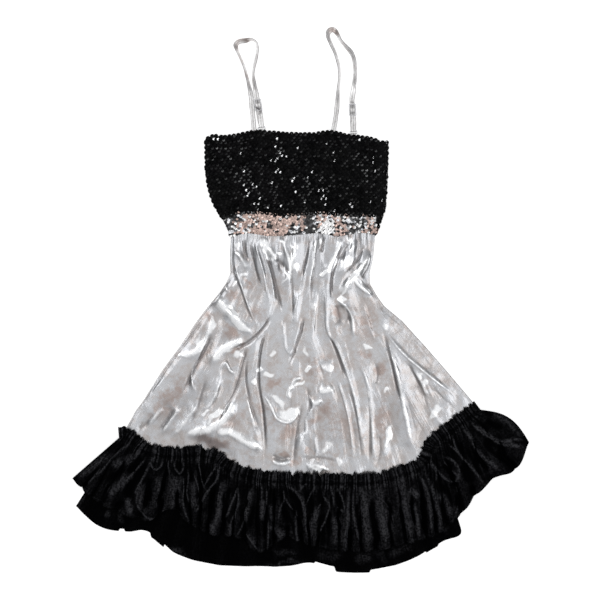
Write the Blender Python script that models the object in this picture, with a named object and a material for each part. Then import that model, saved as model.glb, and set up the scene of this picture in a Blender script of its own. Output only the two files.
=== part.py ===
"""A sequin mini dress laid flat on its back, straps up.

The front and back of the bodice, waistband, skirt and ruffle are separate walls of cloth that lie
on each other. +X is to the right of the laid dress, +Y is towards the straps, +Z is up from the
surface it lies on. All sizes below are in millimetres; MM turns them into Blender's metres.
"""

import math

import bpy
import numpy as np

MM = 0.001

# Cloth walls and the gap left between pieces at a seam
SILVER_CLOTH = 1.0
RUFFLE_CLOTH = 1.0
SEQUIN_CLOTH = 2.0
SEAM = 0.3

# Heights of the layers above the surface, where each rests on the one below
BACK_FOLD = 1.5
SKIRT_LIFT = 2.0
RUFFLE_BACK_PLEAT = 2.0
RUFFLE_BACK_GATHER = 0.6
FRONT_HEM_FOLD = 1.5
FRONT_INSET = 1.0
FRONT_RISE = 2.4

# The back lies on the surface wherever its cloth comes this close to it
FLAT_WITHIN = 0.5

# The ruffle's gathered header, its share of the ruffle's rows, and the skirt's hem hidden below it
HEADER_DEEP = 15.0
HEADER_SHARE = 0.14
SKIRT_HEM_BELOW_HEADER = 20.0

# Side seam of the bodice's front at the right, and the seam across the back
SIDE_SEAM_X = 115.0
BACK_SEAM = ((-118, 121), (118, 108))

# Straps and their fittings
STRAP_WIDTH = 7.5
STRAP_THICK = 1.0
STRAP_AT_FRONT = 4.6
BAR = 1.2
SLIDER_WIDTH = 10.8
SLIDER_PITCH = 8.2
SLIDER_HEIGHT = 3.4
RING_WIDTH = 10.8
RING_PITCH = 4.4
TAB_ENDS = (2.9, 0.55)

# Numbers of gathers, pleats and waves, and the heights of the front's
WAIST_GATHERS = 22
GATHER_HEIGHT = 2.8
SOFT_FOLDS = 11
SOFT_FOLD_HEIGHT = 2.4
BACK_FOLDS = 8
BACK_PLEATS = 20

COLOURS = {
    # material: colour, roughness, metallic
    "black_sequin": ((0.015, 0.015, 0.018), 0.25, 0.3),
    "silver_sequin": ((0.72, 0.62, 0.58), 0.25, 0.9),
    "silver_lame": ((0.74, 0.73, 0.74), 0.35, 0.8),
    "black_satin": ((0.012, 0.012, 0.014), 0.5, 0.0),
    "fitting": ((0.75, 0.75, 0.77), 0.25, 1.0),
}


def table(columns, *rows):
    """A short table as one array for each named column."""
    return dict(zip(columns.split(), np.array(rows, float).T))


# Upper edge of the bodice from its left corner to its right one
BODICE_TOP = table(
    "x y",
    (-142.5, 240.5),
    (-132, 245),
    (-111, 244.5),
    (-94, 247),
    (-66, 253),
    (-48, 251.5),
    (-16, 249),
    (16, 248.5),
    (49, 251.5),
    (68, 247),
    (90, 244),
    (108, 241.5),
    (118, 238),
    (132, 237.5),
)

# Seam between bodice and waistband, and the waistband's lower edge
BAND_TOP = table(
    "x y",
    (-118, 122),
    (-96, 130),
    (-72, 131.5),
    (-16, 128),
    (24, 131),
    (80, 127),
    (126, 127.5),
)
BAND_BOTTOM = table(
    "x y",
    (-104, 94),
    (-80, 100),
    (-48, 96),
    (0, 98.5),
    (25, 100.5),
    (58, 96),
    (90, 101),
    (113, 98),
)

# Sides of bodice and waistband, and the radius of the back's roll at its right side
SIDES = table(
    "y left right radius",
    (246, -142.5, 132.8, 3.7),
    (213, -142, 132, 3.7),
    (184, -140.5, 130.5, 3.7),
    (165, -137.5, 130, 3.7),
    (142, -129, 128.2, 3.6),
    (134, -124.5, 127, 3.5),
    (125, -119, 124, 3.0),
    (117, -114, 120.5, 2.6),
    (108, -109.5, 118, 2.4),
    (92, -103.5, 114.5, 2.4),
)

# Sides of the skirt from the waist to below the ruffle's header
SKIRT_SIDES = table(
    "y left right",
    (98, -103.5, 112.8),
    (63, -105, 109.5),
    (40, -104, 104),
    (25, -111, 104.5),
    (8, -123, 114),
    (-9, -137, 126),
    (-31, -154, 152.5),
    (-70, -180, 188),
    (-105, -206, 218.5),
    (-150, -234, 256.5),
    (-166, -246, 266),
    (-210, -270, 300),
)

# Upper edge of the ruffle's header, then the hems of its front and back halves
HEADER = table(
    "x y",
    (-272, -191),
    (-261, -190.5),
    (-240, -202.5),
    (-225, -215),
    (-210, -218),
    (-186, -220),
    (-148.5, -218),
    (-123, -225),
    (-100.5, -241.5),
    (-61.5, -254),
    (-12, -258),
    (52.5, -259.5),
    (112.5, -258),
    (150, -247.5),
    (177, -236),
    (186, -213),
    (223.5, -180),
    (261, -152),
)
FRONT_HEM = table(
    "x y",
    (-341, -267),
    (-319, -288),
    (-262, -320),
    (-225, -328),
    (-195, -311),
    (-165, -334),
    (-128, -350),
    (-94, -354),
    (-61, -376),
    (-24, -356),
    (22, -367),
    (78, -375),
    (134, -369),
    (172, -360),
    (200, -351),
    (232, -327),
    (264, -290),
    (297, -261),
    (317, -257),
    (343, -213),
)
BACK_HEM = table(
    "x y",
    (-336, -309),
    (-303, -338),
    (-255, -347),
    (-238, -345),
    (-182, -382),
    (-123, -397),
    (-66, -399),
    (0, -394),
    (48, -402),
    (106, -404),
    (159, -392),
    (216, -361),
    (241, -350),
    (236, -321),
    (270, -286),
    (308, -250),
)

# Crests of the front ruffle's folds: place across at the header and at the hem, and height
RUFFLE_FOLDS = table(
    "top hem height",
    (-268, -335, 6),
    (-260, -318, 8),
    (-250, -305, 6),
    (-231, -292, 9),
    (-220, -259, 8),
    (-207, -224, 11),
    (-186, -198, 10),
    (-174, -168, 7),
    (-160, -158, 8),
    (-124, -146, 9),
    (-110, -129, 11),
    (-94, -106, 7),
    (-82, -96, 9),
    (-66, -70, 8),
    (-54, -58, 8),
    (-44, -46, 7),
    (-32, -32, 10),
    (-22, -4, 8),
    (-12, 10, 8),
    (30, 20, 10),
    (42, 32, 6),
    (54, 50, 9),
    (72, 65, 8),
    (82, 84, 7),
    (93, 100, 11),
    (114, 127, 11),
    (132, 150, 7),
    (148, 166, 10),
    (164, 181, 7),
    (175, 197, 9),
    (182, 210, 9),
    (196, 230, 8),
    (211, 249, 11),
    (228, 275, 9),
    (241, 299, 10),
    (252, 335, 9),
)

# The longest folds of the skirt's front: start, middle and end of the crest, half width, height
FOLDS = table(
    "x0 y0 x1 y1 x2 y2 half height",
    (-106, 62, -88, 15, -66, -42, 7, 5.5),
    (-123, 4, -105, -28, -70, -54, 11, 6.5),
    (-42, -27, -70, -54, -117, -78, 9, 6.0),
    (-150, -72, -165, -110, -190, -190, 10, 5.0),
    (-126, -75, -134, -130, -150, -205, 10, 5.0),
    (-80, 90, -52, 28, -36, -27, 6, 4.5),
    (-66, 85, -54, 20, -44, -60, 6, 4.0),
    (-62, -50, -63, -120, -58, -190, 8, 5.0),
    (-92, -75, -98, -130, -118, -200, 9, 5.0),
    (4, -20, -6, -72, -24, -140, 10, 5.5),
    (10, -28, 20, -80, 22, -150, 9, 4.5),
    (36, 60, 44, -5, 64, -82, 8, 5.5),
    (98, 56, 84, 33, 57, 8, 9, 6.0),
    (57, 8, 82, -30, 90, -85, 9, 6.0),
    (84, 33, 98, 16, 114, 8, 8, 5.0),
    (114, 8, 130, -60, 150, -135, 9, 5.5),
    (135, -70, 160, -150, 176, -220, 9, 6.0),
    (130, -48, 185, -112, 232, -160, 9, 4.5),
    (62, -95, 78, -160, 88, -245, 9, 5.0),
    (85, -72, 106, -150, 112, -235, 8, 5.0),
    (-52, -140, -36, -180, -12, -245, 9, 4.5),
    (18, -158, 2, -200, 0, -240, 8, 4.5),
    (-96, -195, -72, -222, -54, -236, 11, 6.0),
    (-174, -215, -148, -196, -112, -208, 10, 5.5),
    (-200, -100, -228, -150, -250, -190, 10, 3.5),
    (40, -120, 52, -180, 46, -240, 9, 4.0),
)

# Each strap from the front of the bodice over the shoulder to its slider: place and tilt in degrees
LEFT_STRAP = table(
    "x y tilt",
    (-68.7, 253.6, 0),
    (-71.2, 282, 0),
    (-73.6, 307, 20),
    (-79.2, 333, 55),
    (-83.3, 349, 60),
    (-90.2, 365, 60),
    (-95.2, 376.5, 45),
    (-96.3, 382, 20),
    (-92, 387, 10),
    (-82, 388.5, 35),
    (-72, 390, 70),
    (-65.8, 386.5, 75),
    (-63.6, 379, 60),
    (-64.8, 366, 50),
    (-68.2, 351, 55),
    (-70.2, 337, 60),
    (-68, 322, 35),
)
RIGHT_STRAP = table(
    "x y tilt",
    (50, 252.7, 0),
    (54.6, 282, 15),
    (57.3, 316, 50),
    (59.2, 339, 60),
    (58, 351, 55),
    (52.8, 369.5, 45),
    (46, 384.5, 40),
    (42.2, 394, 35),
    (42.2, 400.5, 30),
    (45.8, 404.8, 10),
    (51, 404.8, 10),
    (55, 400, 40),
    (60.9, 389, 60),
    (69, 379.5, 50),
    (77, 370.5, 40),
    (81, 360, 45),
    (82.2, 349, 50),
    (82.2, 334, 45),
    (80.4, 317, 20),
)
# Slider, then the ring at the back edge of the bodice
FITTINGS = {
    "left": {"slider": (-62.8, 292.0), "ring": (-57.6, 259.2)},
    "right": {"slider": (78.6, 284.8), "ring": (80.1, 253.2)},
}

# Side view of the strap from slider to ring and back: distance down the strap, height, sideways
STRAP_WEAVE = table(
    "down height side",
    (-16, 0.8, 0),
    (-12, 1.3, 0),
    (-8.2, 1.9, 0),
    (-6.4, 2.5, 0),
    (-4.6, 3.9, 0),
    (-3.0, 5.3, 0),
    (-1.4, 6.1, 0),
    (0, 6.3, 0),
    (1.4, 6.1, 0),
    (3.0, 5.3, 0),
    (4.6, 3.9, 0),
    (6.4, 2.5, 0.2),
    (8.2, 2.0, 0.5),
    (12, 2.0, 1.0),
)
# The strap's two runs near the ring: distance before it, height, sideways
RING_UPPER = table("before height side", (12, 2.1, 0.8), (6, 2.9, 0.2))
RING_LOWER = table("before height side", (6, 0.6, -0.2), (12, 0.55, -0.8))
LOOP_END = table(
    "down height side",
    (12, 0.55, -0.8),
    (6, 0.6, -0.3),
    (3.2, 0.9, 0),
    (1.5, 1.6, 0),
)


def rising(low, high, value):
    """0 below low, 1 above high, and a smooth rise between."""
    share = np.clip((np.asarray(value, float) - low) / (high - low), 0, 1)
    return share * share * (3 - 2 * share)


def through(known, values, at):
    """A smooth line through the values at the known places, read at other places."""
    slopes = np.gradient(values, known)
    i = np.clip(np.searchsorted(known, at) - 1, 0, len(known) - 2)
    step = known[i + 1] - known[i]
    u = np.clip((at - known[i]) / step, 0, 1)
    h00 = 2 * u**3 - 3 * u**2 + 1
    h10 = u**3 - 2 * u**2 + u
    h11 = u**3 - u**2
    return h00 * values[i] + h10 * step * slopes[i] + (1 - h00) * values[i + 1] + h11 * step * slopes[i + 1]


def along(points, share):
    """Places at the given shares of the length of the smooth curve through a table's x and y."""
    steps = np.hypot(np.diff(points["x"]), np.diff(points["y"]))
    places = np.concatenate([[0], np.cumsum(steps)]) / steps.sum()
    return through(places, points["x"], share), through(places, points["y"], share)


def side(name, y):
    """A column of the SIDES table at the height y."""
    return through(SIDES["y"][::-1], SIDES[name][::-1], np.asarray(y, float))


def grid(rows, columns):
    """Shares down and across for every point of a grid, rows first."""
    return np.meshgrid(rows, columns, indexing="ij")


def mesh_object(name, points, faces, material):
    """A named object with its own material, from points in millimetres."""
    mesh = bpy.data.meshes.new(name)
    mesh.from_pydata([tuple(p) for p in np.asarray(points) * MM], [], faces)
    mesh.update()
    mesh.shade_smooth()
    colour, roughness, metallic = COLOURS[material]
    look = bpy.data.materials.get(material) or bpy.data.materials.new(material)
    look.use_nodes = True
    shader = look.node_tree.nodes["Principled BSDF"]
    shader.inputs["Base Color"].default_value = (*colour, 1)
    shader.inputs["Roughness"].default_value = roughness
    shader.inputs["Metallic"].default_value = metallic
    mesh.materials.append(look)
    made = bpy.data.objects.new(name, mesh)
    bpy.context.scene.collection.objects.link(made)
    return made


def wall(name, upper, lower, material):
    """Closed cloth wall between two grids of points of the same size, joined round their rims."""
    rows, columns = upper.shape[:2]
    count = rows * columns
    top = np.arange(count).reshape(rows, columns)
    faces = []
    for i in range(rows - 1):
        for j in range(columns - 1):
            a, b, c, d = top[i, j], top[i + 1, j], top[i + 1, j + 1], top[i, j + 1]
            faces += [(a, b, c), (a, c, d)]
            faces += [(c + count, b + count, a + count), (d + count, c + count, a + count)]
    rim = [*top[0, :-1], *top[:-1, -1], *top[-1, :0:-1], *top[:0:-1, 0]]
    for a, b in zip(rim, rim[1:] + rim[:1]):
        faces += [(a, b, b + count), (a, b + count, a + count)]
    points = np.concatenate([upper.reshape(-1, 3), lower.reshape(-1, 3)])
    return mesh_object(name, points, [tuple(int(i) for i in f) for f in faces], material)


def normals_of(surface):
    """Unit normals of a grid surface that runs down in rows and right in columns, pointing up."""
    down = np.gradient(surface, axis=0)
    right = np.gradient(surface, axis=1)
    normal = np.cross(down, right)
    return normal / np.linalg.norm(normal, axis=2, keepdims=True)


def cloth(name, middle, thick, material):
    """Cloth wall of even thickness about its middle surface."""
    offset = normals_of(middle) * thick / 2
    return wall(name, middle + offset, middle - offset, material)


def flat_backed(name, middle, thick, material):
    """Cloth wall whose lower points lie on the surface where the cloth comes close to it."""
    offset = normals_of(middle) * thick / 2
    lower = middle - offset
    resting = middle[..., 2] - thick / 2 <= FLAT_WITHIN
    lower[..., 2] = np.where(resting, 0, np.maximum(lower[..., 2], 0))
    return wall(name, middle + offset, lower, material)


def seam_height(x):
    """Height along the dress of the seam between the back bodice and the back waistband."""
    return np.interp(x, *zip(*BACK_SEAM))


def front_height(x, y):
    """Height of the middle of the front's wall, from its left fold to its side seam."""
    lying = SEQUIN_CLOTH * 1.5 + SEAM
    at_seam = np.maximum(2 * side("radius", y) - SEQUIN_CLOTH / 2, lying)
    waves = 0.8 * np.sin(x / 23 + 0.8) + 0.6 * np.sin(x / 13 - y / 31) + 0.6 * np.sin(y / 19 + x / 47)
    from_left = rising(side("left", y), side("left", y) + 28, x)
    from_right = rising(SIDE_SEAM_X, SIDE_SEAM_X - 30, x)
    rise = (at_seam - lying) * rising(SIDE_SEAM_X - 55, SIDE_SEAM_X - 3, x)
    return lying + FRONT_RISE * from_left * from_right * (1 + waves / FRONT_RISE) + rise


def front_panel(rows, columns, top, bottom):
    """Places of a front panel of the bodice or band between its upper and lower edges."""
    t, s = grid(rows, columns)
    x = -120 + 240 * s
    for _ in range(4):
        y = through(top["x"], top["y"], x) * (1 - t) + through(bottom["x"], bottom["y"], x) * t
        left, right = side("left", y) + 0.4, SIDE_SEAM_X - SEAM
        x = left + (right - left) * s
    return np.dstack([x, y, front_height(x, y)])


def build_bodice_front():
    panel = front_panel(np.linspace(0, 1, 8), np.linspace(0, 1, 37), BODICE_TOP, BAND_TOP)
    cloth("bodice_front", panel, SEQUIN_CLOTH, "black_sequin")


def build_band_front():
    lowered = dict(BAND_TOP, y=BAND_TOP["y"] - SEAM)
    panel = front_panel(np.linspace(0, 1, 4), np.linspace(0, 1, 37), lowered, BAND_BOTTOM)
    cloth("band_front", panel, SEQUIN_CLOTH, "silver_sequin")


def build_bodice_back():
    """The back lies flat and rolls up over the front at the right side."""
    half = SEQUIN_CLOTH / 2
    columns = 30
    t, s = grid(np.linspace(0, 1, 8), np.linspace(0, 1, columns + 1))
    flat, turn = 20 / columns, 26 / columns
    x = -120 + 240 * s
    for _ in range(4):
        top = through(BODICE_TOP["x"], BODICE_TOP["y"], np.clip(x, -142, 132)) - 0.8
        y = top * (1 - t) + seam_height(x) * t
        radius = side("radius", y)
        right = side("right", y)
        left = side("left", y)
        centre = right - radius
        angle = np.pi * np.clip((s - flat) / (turn - flat), 0, 1)
        lying = left + (centre - left) * np.clip(s / flat, 0, 1)
        over = np.maximum(centre - SIDE_SEAM_X, 0.2) * np.clip((s - turn) / (1 - turn), 0, 1)
        x = np.where(s <= flat, lying, centre + (radius - half) * np.sin(angle) - over)
    z = radius - (radius - half) * np.cos(angle)
    middle = np.dstack([x, y, z])
    offset = normals_of(middle) * half
    upper, lower = middle + offset, middle - offset
    lower[..., 2] = np.where(s <= flat, 0, lower[..., 2])
    wall("bodice_back", upper, lower, "black_sequin")


def build_band_back():
    t, s = grid(np.linspace(0, 1, 3), np.linspace(0, 1, 21))
    x = -110 + 220 * s
    for _ in range(4):
        y = (seam_height(x) - SEAM) * (1 - t) + through(BAND_BOTTOM["x"], BAND_BOTTOM["y"], x) * t
        left, right = side("left", y), side("right", y) - SEAM
        x = left + (right - left) * s
    lower = np.dstack([x, y, np.zeros_like(x)])
    wall("band_back", lower + [0, 0, SEQUIN_CLOTH], lower, "silver_sequin")


def share_at(points, x):
    """Share of a curve's length at each x."""
    shares = np.linspace(0, 1, 201)
    return np.interp(x, along(points, shares)[0], shares)


def below_header(share, deep):
    """Places at a depth below the upper edge of the ruffle's header."""
    x, y = along(HEADER, share)
    ahead, behind = along(HEADER, share + 0.01), along(HEADER, share - 0.01)
    run = np.stack([ahead[0] - behind[0], ahead[1] - behind[1]])
    run /= np.hypot(*run)
    return x + run[1] * deep, y - run[0] * deep


def ruffle_place(top, low, down, hem):
    """Places on the ruffle, from a share of its header's length to a share of its hem's."""
    stitch_x, stitch_y = below_header(top, HEADER_DEEP * np.clip(down / HEADER_SHARE, 0, 1))
    hem_x, hem_y = along(hem, low)
    fall = np.clip((down - HEADER_SHARE) / (1 - HEADER_SHARE), 0, 1)
    swell = 14 * np.sin(np.pi * fall) * rising(0.93, 1.0, low)
    x = stitch_x + (hem_x - stitch_x) * fall + swell * 0.5
    return x, stitch_y + (hem_y - stitch_y) * fall + swell * 0.85


def skirt_place(share, down):
    """Places on the skirt, from waist to hem, with its sides on the outline."""
    hem_x, hem_y = below_header(0.012 + 0.976 * share, SKIRT_HEM_BELOW_HEADER)
    waist_x = -103.5 + 216 * share
    waist_y = through(BAND_BOTTOM["x"], BAND_BOTTOM["y"], np.clip(waist_x, -104, 113)) - 2 * SEAM
    soft = 0.028
    flare = soft * np.logaddexp(0, (down - 0.19) / soft) / (soft * np.logaddexp(0, 0.81 / soft))
    x = waist_x + (hem_x - waist_x) * flare
    y = waist_y + (hem_y - waist_y) * down
    across = (x - x[:, :1]) / (x[:, -1:] - x[:, :1])
    left = np.interp(-y[:, :1], -SKIRT_SIDES["y"], SKIRT_SIDES["left"])
    right = np.interp(-y[:, -1:], -SKIRT_SIDES["y"], SKIRT_SIDES["right"])
    return left + (right - left) * across, y


def gather_wave(count, share, wander):
    """Rounded waves 0 to 1 across a gathered edge, unevenly spaced."""
    drift = np.sin(2 * np.pi * share * 3.7 + 1.1) + 0.5 * np.sin(2 * np.pi * share * 9.1)
    return 0.5 - 0.5 * np.cos(2 * np.pi * (count * share + wander * drift))


def edge_fade(share, start, end):
    """0 at the side edges of a panel and 1 inside it."""
    return rising(start, end, share) * rising(start, end, 1 - share)


def fold_heights(x, y):
    """Height that the table of folds adds at each place."""
    total = np.zeros_like(x)
    for row in zip(*FOLDS.values()):
        x0, y0, x1, y1, x2, y2, half, height = row
        best = np.zeros_like(x)
        for u in np.linspace(0, 1, 25):
            bx = (1 - u) ** 2 * x0 + 2 * u * (1 - u) * (2 * x1 - (x0 + x2) / 2) + u * u * x2
            by = (1 - u) ** 2 * y0 + 2 * u * (1 - u) * (2 * y1 - (y0 + y2) / 2) + u * u * y2
            near = np.clip(np.hypot(x - bx, y - by) / half, 0, 1)
            taper = min(1, 4 * u + 0.15, 4 * (1 - u) + 0.15)
            best = np.maximum(best, height * taper * (0.5 + 0.5 * np.cos(np.pi * near)))
        total = np.maximum(total, best) + 0.3 * np.minimum(total, best)
    return total


def build_skirt_back():
    down = np.array([0, 0.2, 0.27, 0.34, 0.41, 0.5, 0.62, 0.75, 0.86, 0.93, 1])
    t, s = grid(down, np.linspace(0, 1, 4 * BACK_FOLDS + 1))
    x, y = skirt_place(s, t)
    pressed = BACK_FOLD * gather_wave(BACK_FOLDS, s, 0.06) ** 3 * edge_fade(s, 0.03, 0.1)
    raised = SKIRT_LIFT * rising(0.86, 0.93, t)
    lower = pressed * rising(0.95, 0.75, t) + raised
    z = lower + SILVER_CLOTH / 2
    flat_backed("skirt_back", np.dstack([x, y, z]), SILVER_CLOTH, "silver_lame")


def build_skirt_front():
    down = np.concatenate([[0, 0.03, 0.08, 0.13], np.linspace(0.19, 1, 14)])
    t, s = grid(down, np.linspace(0, 1, 4 * WAIST_GATHERS + 1))
    x, y = skirt_place(s, t)
    x += FRONT_INSET * (1 - 2 * s)
    base = SILVER_CLOTH + SEAM + SKIRT_LIFT * np.maximum(edge_fade(s, 0, 0.05), rising(0.78, 0.86, t))
    inside = edge_fade(s, 0.004, 0.05)
    gathers = GATHER_HEIGHT * gather_wave(WAIST_GATHERS, s, 0.1) * rising(0.34, 0.05, t)
    gathers *= 0.45 + 0.55 * rising(0, 0.05, t)
    soft = SOFT_FOLD_HEIGHT * gather_wave(SOFT_FOLDS, s, 0.2) * rising(0.02, 0.2, t) * rising(1.05, 0.7, t)
    folds = fold_heights(x, y) * rising(0.0, 0.06, t)
    pressed = rising(1.0, 0.86, t)
    high = (gathers + soft + folds) * inside
    z = base + SILVER_CLOTH / 2 + high * pressed + np.minimum(high, FRONT_HEM_FOLD) * (1 - pressed)
    cloth("skirt_front", np.dstack([x, y, z]), SILVER_CLOTH, "silver_lame")


def build_ruffle_back():
    down = np.array([0, HEADER_SHARE, 0.4, 0.7, 1])
    t, s = grid(down, np.linspace(0, 1, 4 * BACK_PLEATS + 1))
    x, y = ruffle_place(s, s, t, BACK_HEM)
    pleat = gather_wave(BACK_PLEATS, s, 0.15) ** 2
    height = RUFFLE_BACK_GATHER + (RUFFLE_BACK_PLEAT - RUFFLE_BACK_GATHER) * rising(0.25, 0.7, t)
    z = height * pleat * edge_fade(s, 0.0, 0.02) + RUFFLE_CLOTH / 2
    flat_backed("ruffle_back", np.dstack([x, y, z]), RUFFLE_CLOTH, "black_satin")


def fold_line(places):
    """Shares of the valleys and crests along an edge, from the crests' shares."""
    valleys = np.concatenate([[0], (places[1:] + places[:-1]) / 2, [1]])
    line = np.empty(2 * len(places) + 1)
    line[0::2], line[1::2] = valleys, places
    return line


def build_ruffle_front():
    down = np.array([0, HEADER_SHARE, 0.28, 0.5, 0.75, 1])
    count = len(RUFFLE_FOLDS["top"])
    t, phase = grid(down, np.linspace(0, count, 4 * count + 1))
    knots = np.linspace(0, count, 2 * count + 1)
    top = np.interp(phase, knots, fold_line(share_at(HEADER, RUFFLE_FOLDS["top"])))
    low = np.interp(phase, knots, fold_line(share_at(FRONT_HEM, RUFFLE_FOLDS["hem"])))
    x, y = ruffle_place(top, low, t, FRONT_HEM)
    wave = 0.5 - 0.5 * np.cos(2 * np.pi * phase)
    tall = np.interp(phase, np.arange(count) + 0.5, RUFFLE_FOLDS["height"])
    pinch = 0.7 + 1.8 * rising(HEADER_SHARE, 0, t)
    ends = 0.25 + 0.75 * edge_fade(phase / count, 0.0, 0.03)
    height = pinch + (tall - pinch) * rising(HEADER_SHARE, 0.9, t) ** 0.8
    over_hem = SILVER_CLOTH * 2 + SKIRT_LIFT + SEAM * 2 + FRONT_HEM_FOLD + 0.2
    over_back = RUFFLE_BACK_PLEAT + RUFFLE_CLOTH + SEAM
    lower = over_hem + (over_back - over_hem) * rising(0.2, 0.5, t)
    z = lower + height * wave * ends + RUFFLE_CLOTH / 2
    out = 3.0 * (wave - 0.5) * rising(0.5, 1, t) * edge_fade(phase / count, 0, 0.04)
    hx, hy = along(HEADER, top)
    reach = np.hypot(x - hx, y - hy) + 1
    x, y = x + out * (x - hx) / reach, y + out * (y - hy) / reach
    cloth("ruffle_front", np.dstack([x, y, z]), RUFFLE_CLOTH, "black_satin")


def ribbon(name, centres, across):
    """Flat strap along a line of centres, with its width along the given directions."""
    width, thick = STRAP_WIDTH, STRAP_THICK
    centres, across = np.asarray(centres, float), np.asarray(across, float)
    along_it = np.gradient(centres, axis=0)
    along_it /= np.linalg.norm(along_it, axis=1, keepdims=True)
    across = across - along_it * (across * along_it).sum(1, keepdims=True)
    across /= np.linalg.norm(across, axis=1, keepdims=True)
    face = np.cross(across, along_it)
    sides = ((-1, -1), (1, -1), (1, 1), (-1, 1))
    count = len(centres)
    points = np.concatenate([centres + across * width / 2 * a + face * thick / 2 * b for a, b in sides])
    faces = [(0, count, 2 * count, 3 * count), tuple(k * count + count - 1 for k in (3, 2, 1, 0))]
    for i in range(count - 1):
        for k in range(4):
            n = (k + 1) % 4
            faces.append((k * count + i, k * count + i + 1, n * count + i + 1, n * count + i))
    mesh_object(name, points, faces, "silver_lame")


def fitting_frame(where):
    """Place of the slider, unit directions down the strap and across it, and the way to the ring."""
    slider, ring = np.array(FITTINGS[where]["slider"]), np.array(FITTINGS[where]["ring"])
    reach = np.linalg.norm(ring - slider)
    down = np.array([*(ring - slider) / reach, 0])
    return np.array([*slider, 0]), down, np.cross([0, 0, 1], down), reach


def ring_turn(radius, centre_down, centre_height, angles):
    """Points of a strap that turns round a bar, as distance down the strap and height."""
    a = np.radians(angles)
    return centre_down + radius * np.sin(a), centre_height + radius * np.cos(a)


def build_strap(where, route):
    """One strap: over the shoulder, through its slider, round the ring and back to the slider."""
    slider, down, across, reach = fitting_frame(where)
    shares = np.linspace(0, 1, 33)
    x, y = along(route, shares)
    steps = np.hypot(np.diff(route["x"]), np.diff(route["y"]))
    places = np.concatenate([[0], np.cumsum(steps)]) / steps.sum()
    tilt = np.radians(through(places, route["tilt"], shares))
    z = (STRAP_WIDTH * np.sin(tilt) + STRAP_THICK * np.cos(tilt)) / 2
    z += STRAP_AT_FRONT * rising(0.16, 0, shares)
    run = np.gradient(np.dstack([x, y])[0], axis=0)
    run /= np.linalg.norm(run, axis=1, keepdims=True)
    level = np.stack([-run[:, 1], run[:, 0], np.zeros(len(x))], axis=1)
    widths = level * np.cos(tilt)[:, None] + np.array([0, 0, 1]) * np.sin(tilt)[:, None]
    turn_radius = (BAR + STRAP_THICK) / 2 + SEAM
    bar_height = turn_radius + STRAP_THICK / 2
    turn = ring_turn(turn_radius, reach, bar_height, np.linspace(0, 180, 7))
    loop = ring_turn(turn_radius, 0, SLIDER_HEIGHT, np.linspace(200, 350, 7))
    profile = [
        (STRAP_WEAVE["down"], STRAP_WEAVE["height"], STRAP_WEAVE["side"]),
        (reach - RING_UPPER["before"], RING_UPPER["height"], RING_UPPER["side"]),
        (*turn, np.zeros(7)),
        (reach - RING_LOWER["before"], RING_LOWER["height"], RING_LOWER["side"]),
        (LOOP_END["down"], LOOP_END["height"], LOOP_END["side"]),
        (*loop, np.zeros(7)),
    ]
    u, h, lateral = (np.concatenate(column) for column in zip(*profile))
    woven = slider + u[:, None] * down + lateral[:, None] * across + h[:, None] * np.array([0, 0, 1])
    centres = np.concatenate([np.stack([x, y, z], axis=1), woven])
    widths = np.concatenate([widths, np.tile(-across, (len(u), 1))])
    ribbon(f"strap_{where}", centres, widths)


def flat_frame(name, centre, down, across, width, bars, height):
    """Flat wire frame with a cross bar at each of the given distances, as a slider or a ring."""
    half_bar = BAR / 2
    u_lines = sorted([b + e for b in bars for e in (-half_bar, half_bar)])
    v_lines = [-width / 2, -width / 2 + BAR, width / 2 - BAR, width / 2]
    points, faces, index = [], [], {}
    for k, z in enumerate((height + half_bar, height - half_bar)):
        for i, u in enumerate(u_lines):
            for j, v in enumerate(v_lines):
                index[k, i, j] = len(points)
                points.append(centre + down * u + across * v + np.array([0, 0, z]))
    cells = {(i, j) for i in range(len(u_lines) - 1) for j in range(3) if i % 2 == 0 or j != 1}
    for i, j in cells:
        loop = [(i, j), (i + 1, j), (i + 1, j + 1), (i, j + 1)]
        faces.append(tuple(index[0, a, b] for a, b in loop))
        faces.append(tuple(index[1, a, b] for a, b in reversed(loop)))
        beside = [(i, j - 1), (i + 1, j), (i, j + 1), (i - 1, j)]
        for (start, end), neighbour in zip(zip(loop, loop[1:] + loop[:1]), beside):
            if neighbour not in cells:
                faces.append((index[0, *start], index[1, *start], index[1, *end], index[0, *end]))
    made = mesh_object(name, points, faces, "fitting")
    made.data.shade_flat()
    return made


def build_fittings(where):
    """Slider, ring and the tab that holds the ring to the back of the bodice."""
    slider, down, across, reach = fitting_frame(where)
    bars = (-SLIDER_PITCH, 0, SLIDER_PITCH)
    flat_frame(f"slider_{where}", slider, down, across, SLIDER_WIDTH, bars, SLIDER_HEIGHT)
    turn_radius = (BAR + STRAP_THICK) / 2 + SEAM
    bar_height = turn_radius + STRAP_THICK / 2
    low_bar = reach + RING_PITCH
    flat_frame(f"ring_{where}", slider, down, across, RING_WIDTH, (reach, low_bar), bar_height)
    low_x, low_y, _ = slider + down * low_bar
    edge = through(BODICE_TOP["x"], BODICE_TOP["y"], np.array([low_x]))[0]
    tail = (low_y - edge - SEAM) / abs(down[1])
    u, h = ring_turn(turn_radius, low_bar, bar_height, np.linspace(0, -180, 7))
    u = np.concatenate([[low_bar + tail], u, [low_bar + tail]])
    h = np.concatenate([[TAB_ENDS[0]], h, [TAB_ENDS[1]]])
    centres = slider + u[:, None] * down + h[:, None] * np.array([0, 0, 1])
    ribbon(f"tab_{where}", centres, np.tile(across, (len(u), 1)))


def main():
    for old in list(bpy.data.objects):
        bpy.data.objects.remove(old)
    build_bodice_back()
    build_bodice_front()
    build_band_back()
    build_band_front()
    build_skirt_back()
    build_skirt_front()
    build_ruffle_back()
    build_ruffle_front()
    for where, route in (("left", LEFT_STRAP), ("right", RIGHT_STRAP)):
        build_strap(where, route)
        build_fittings(where)


main()
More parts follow.
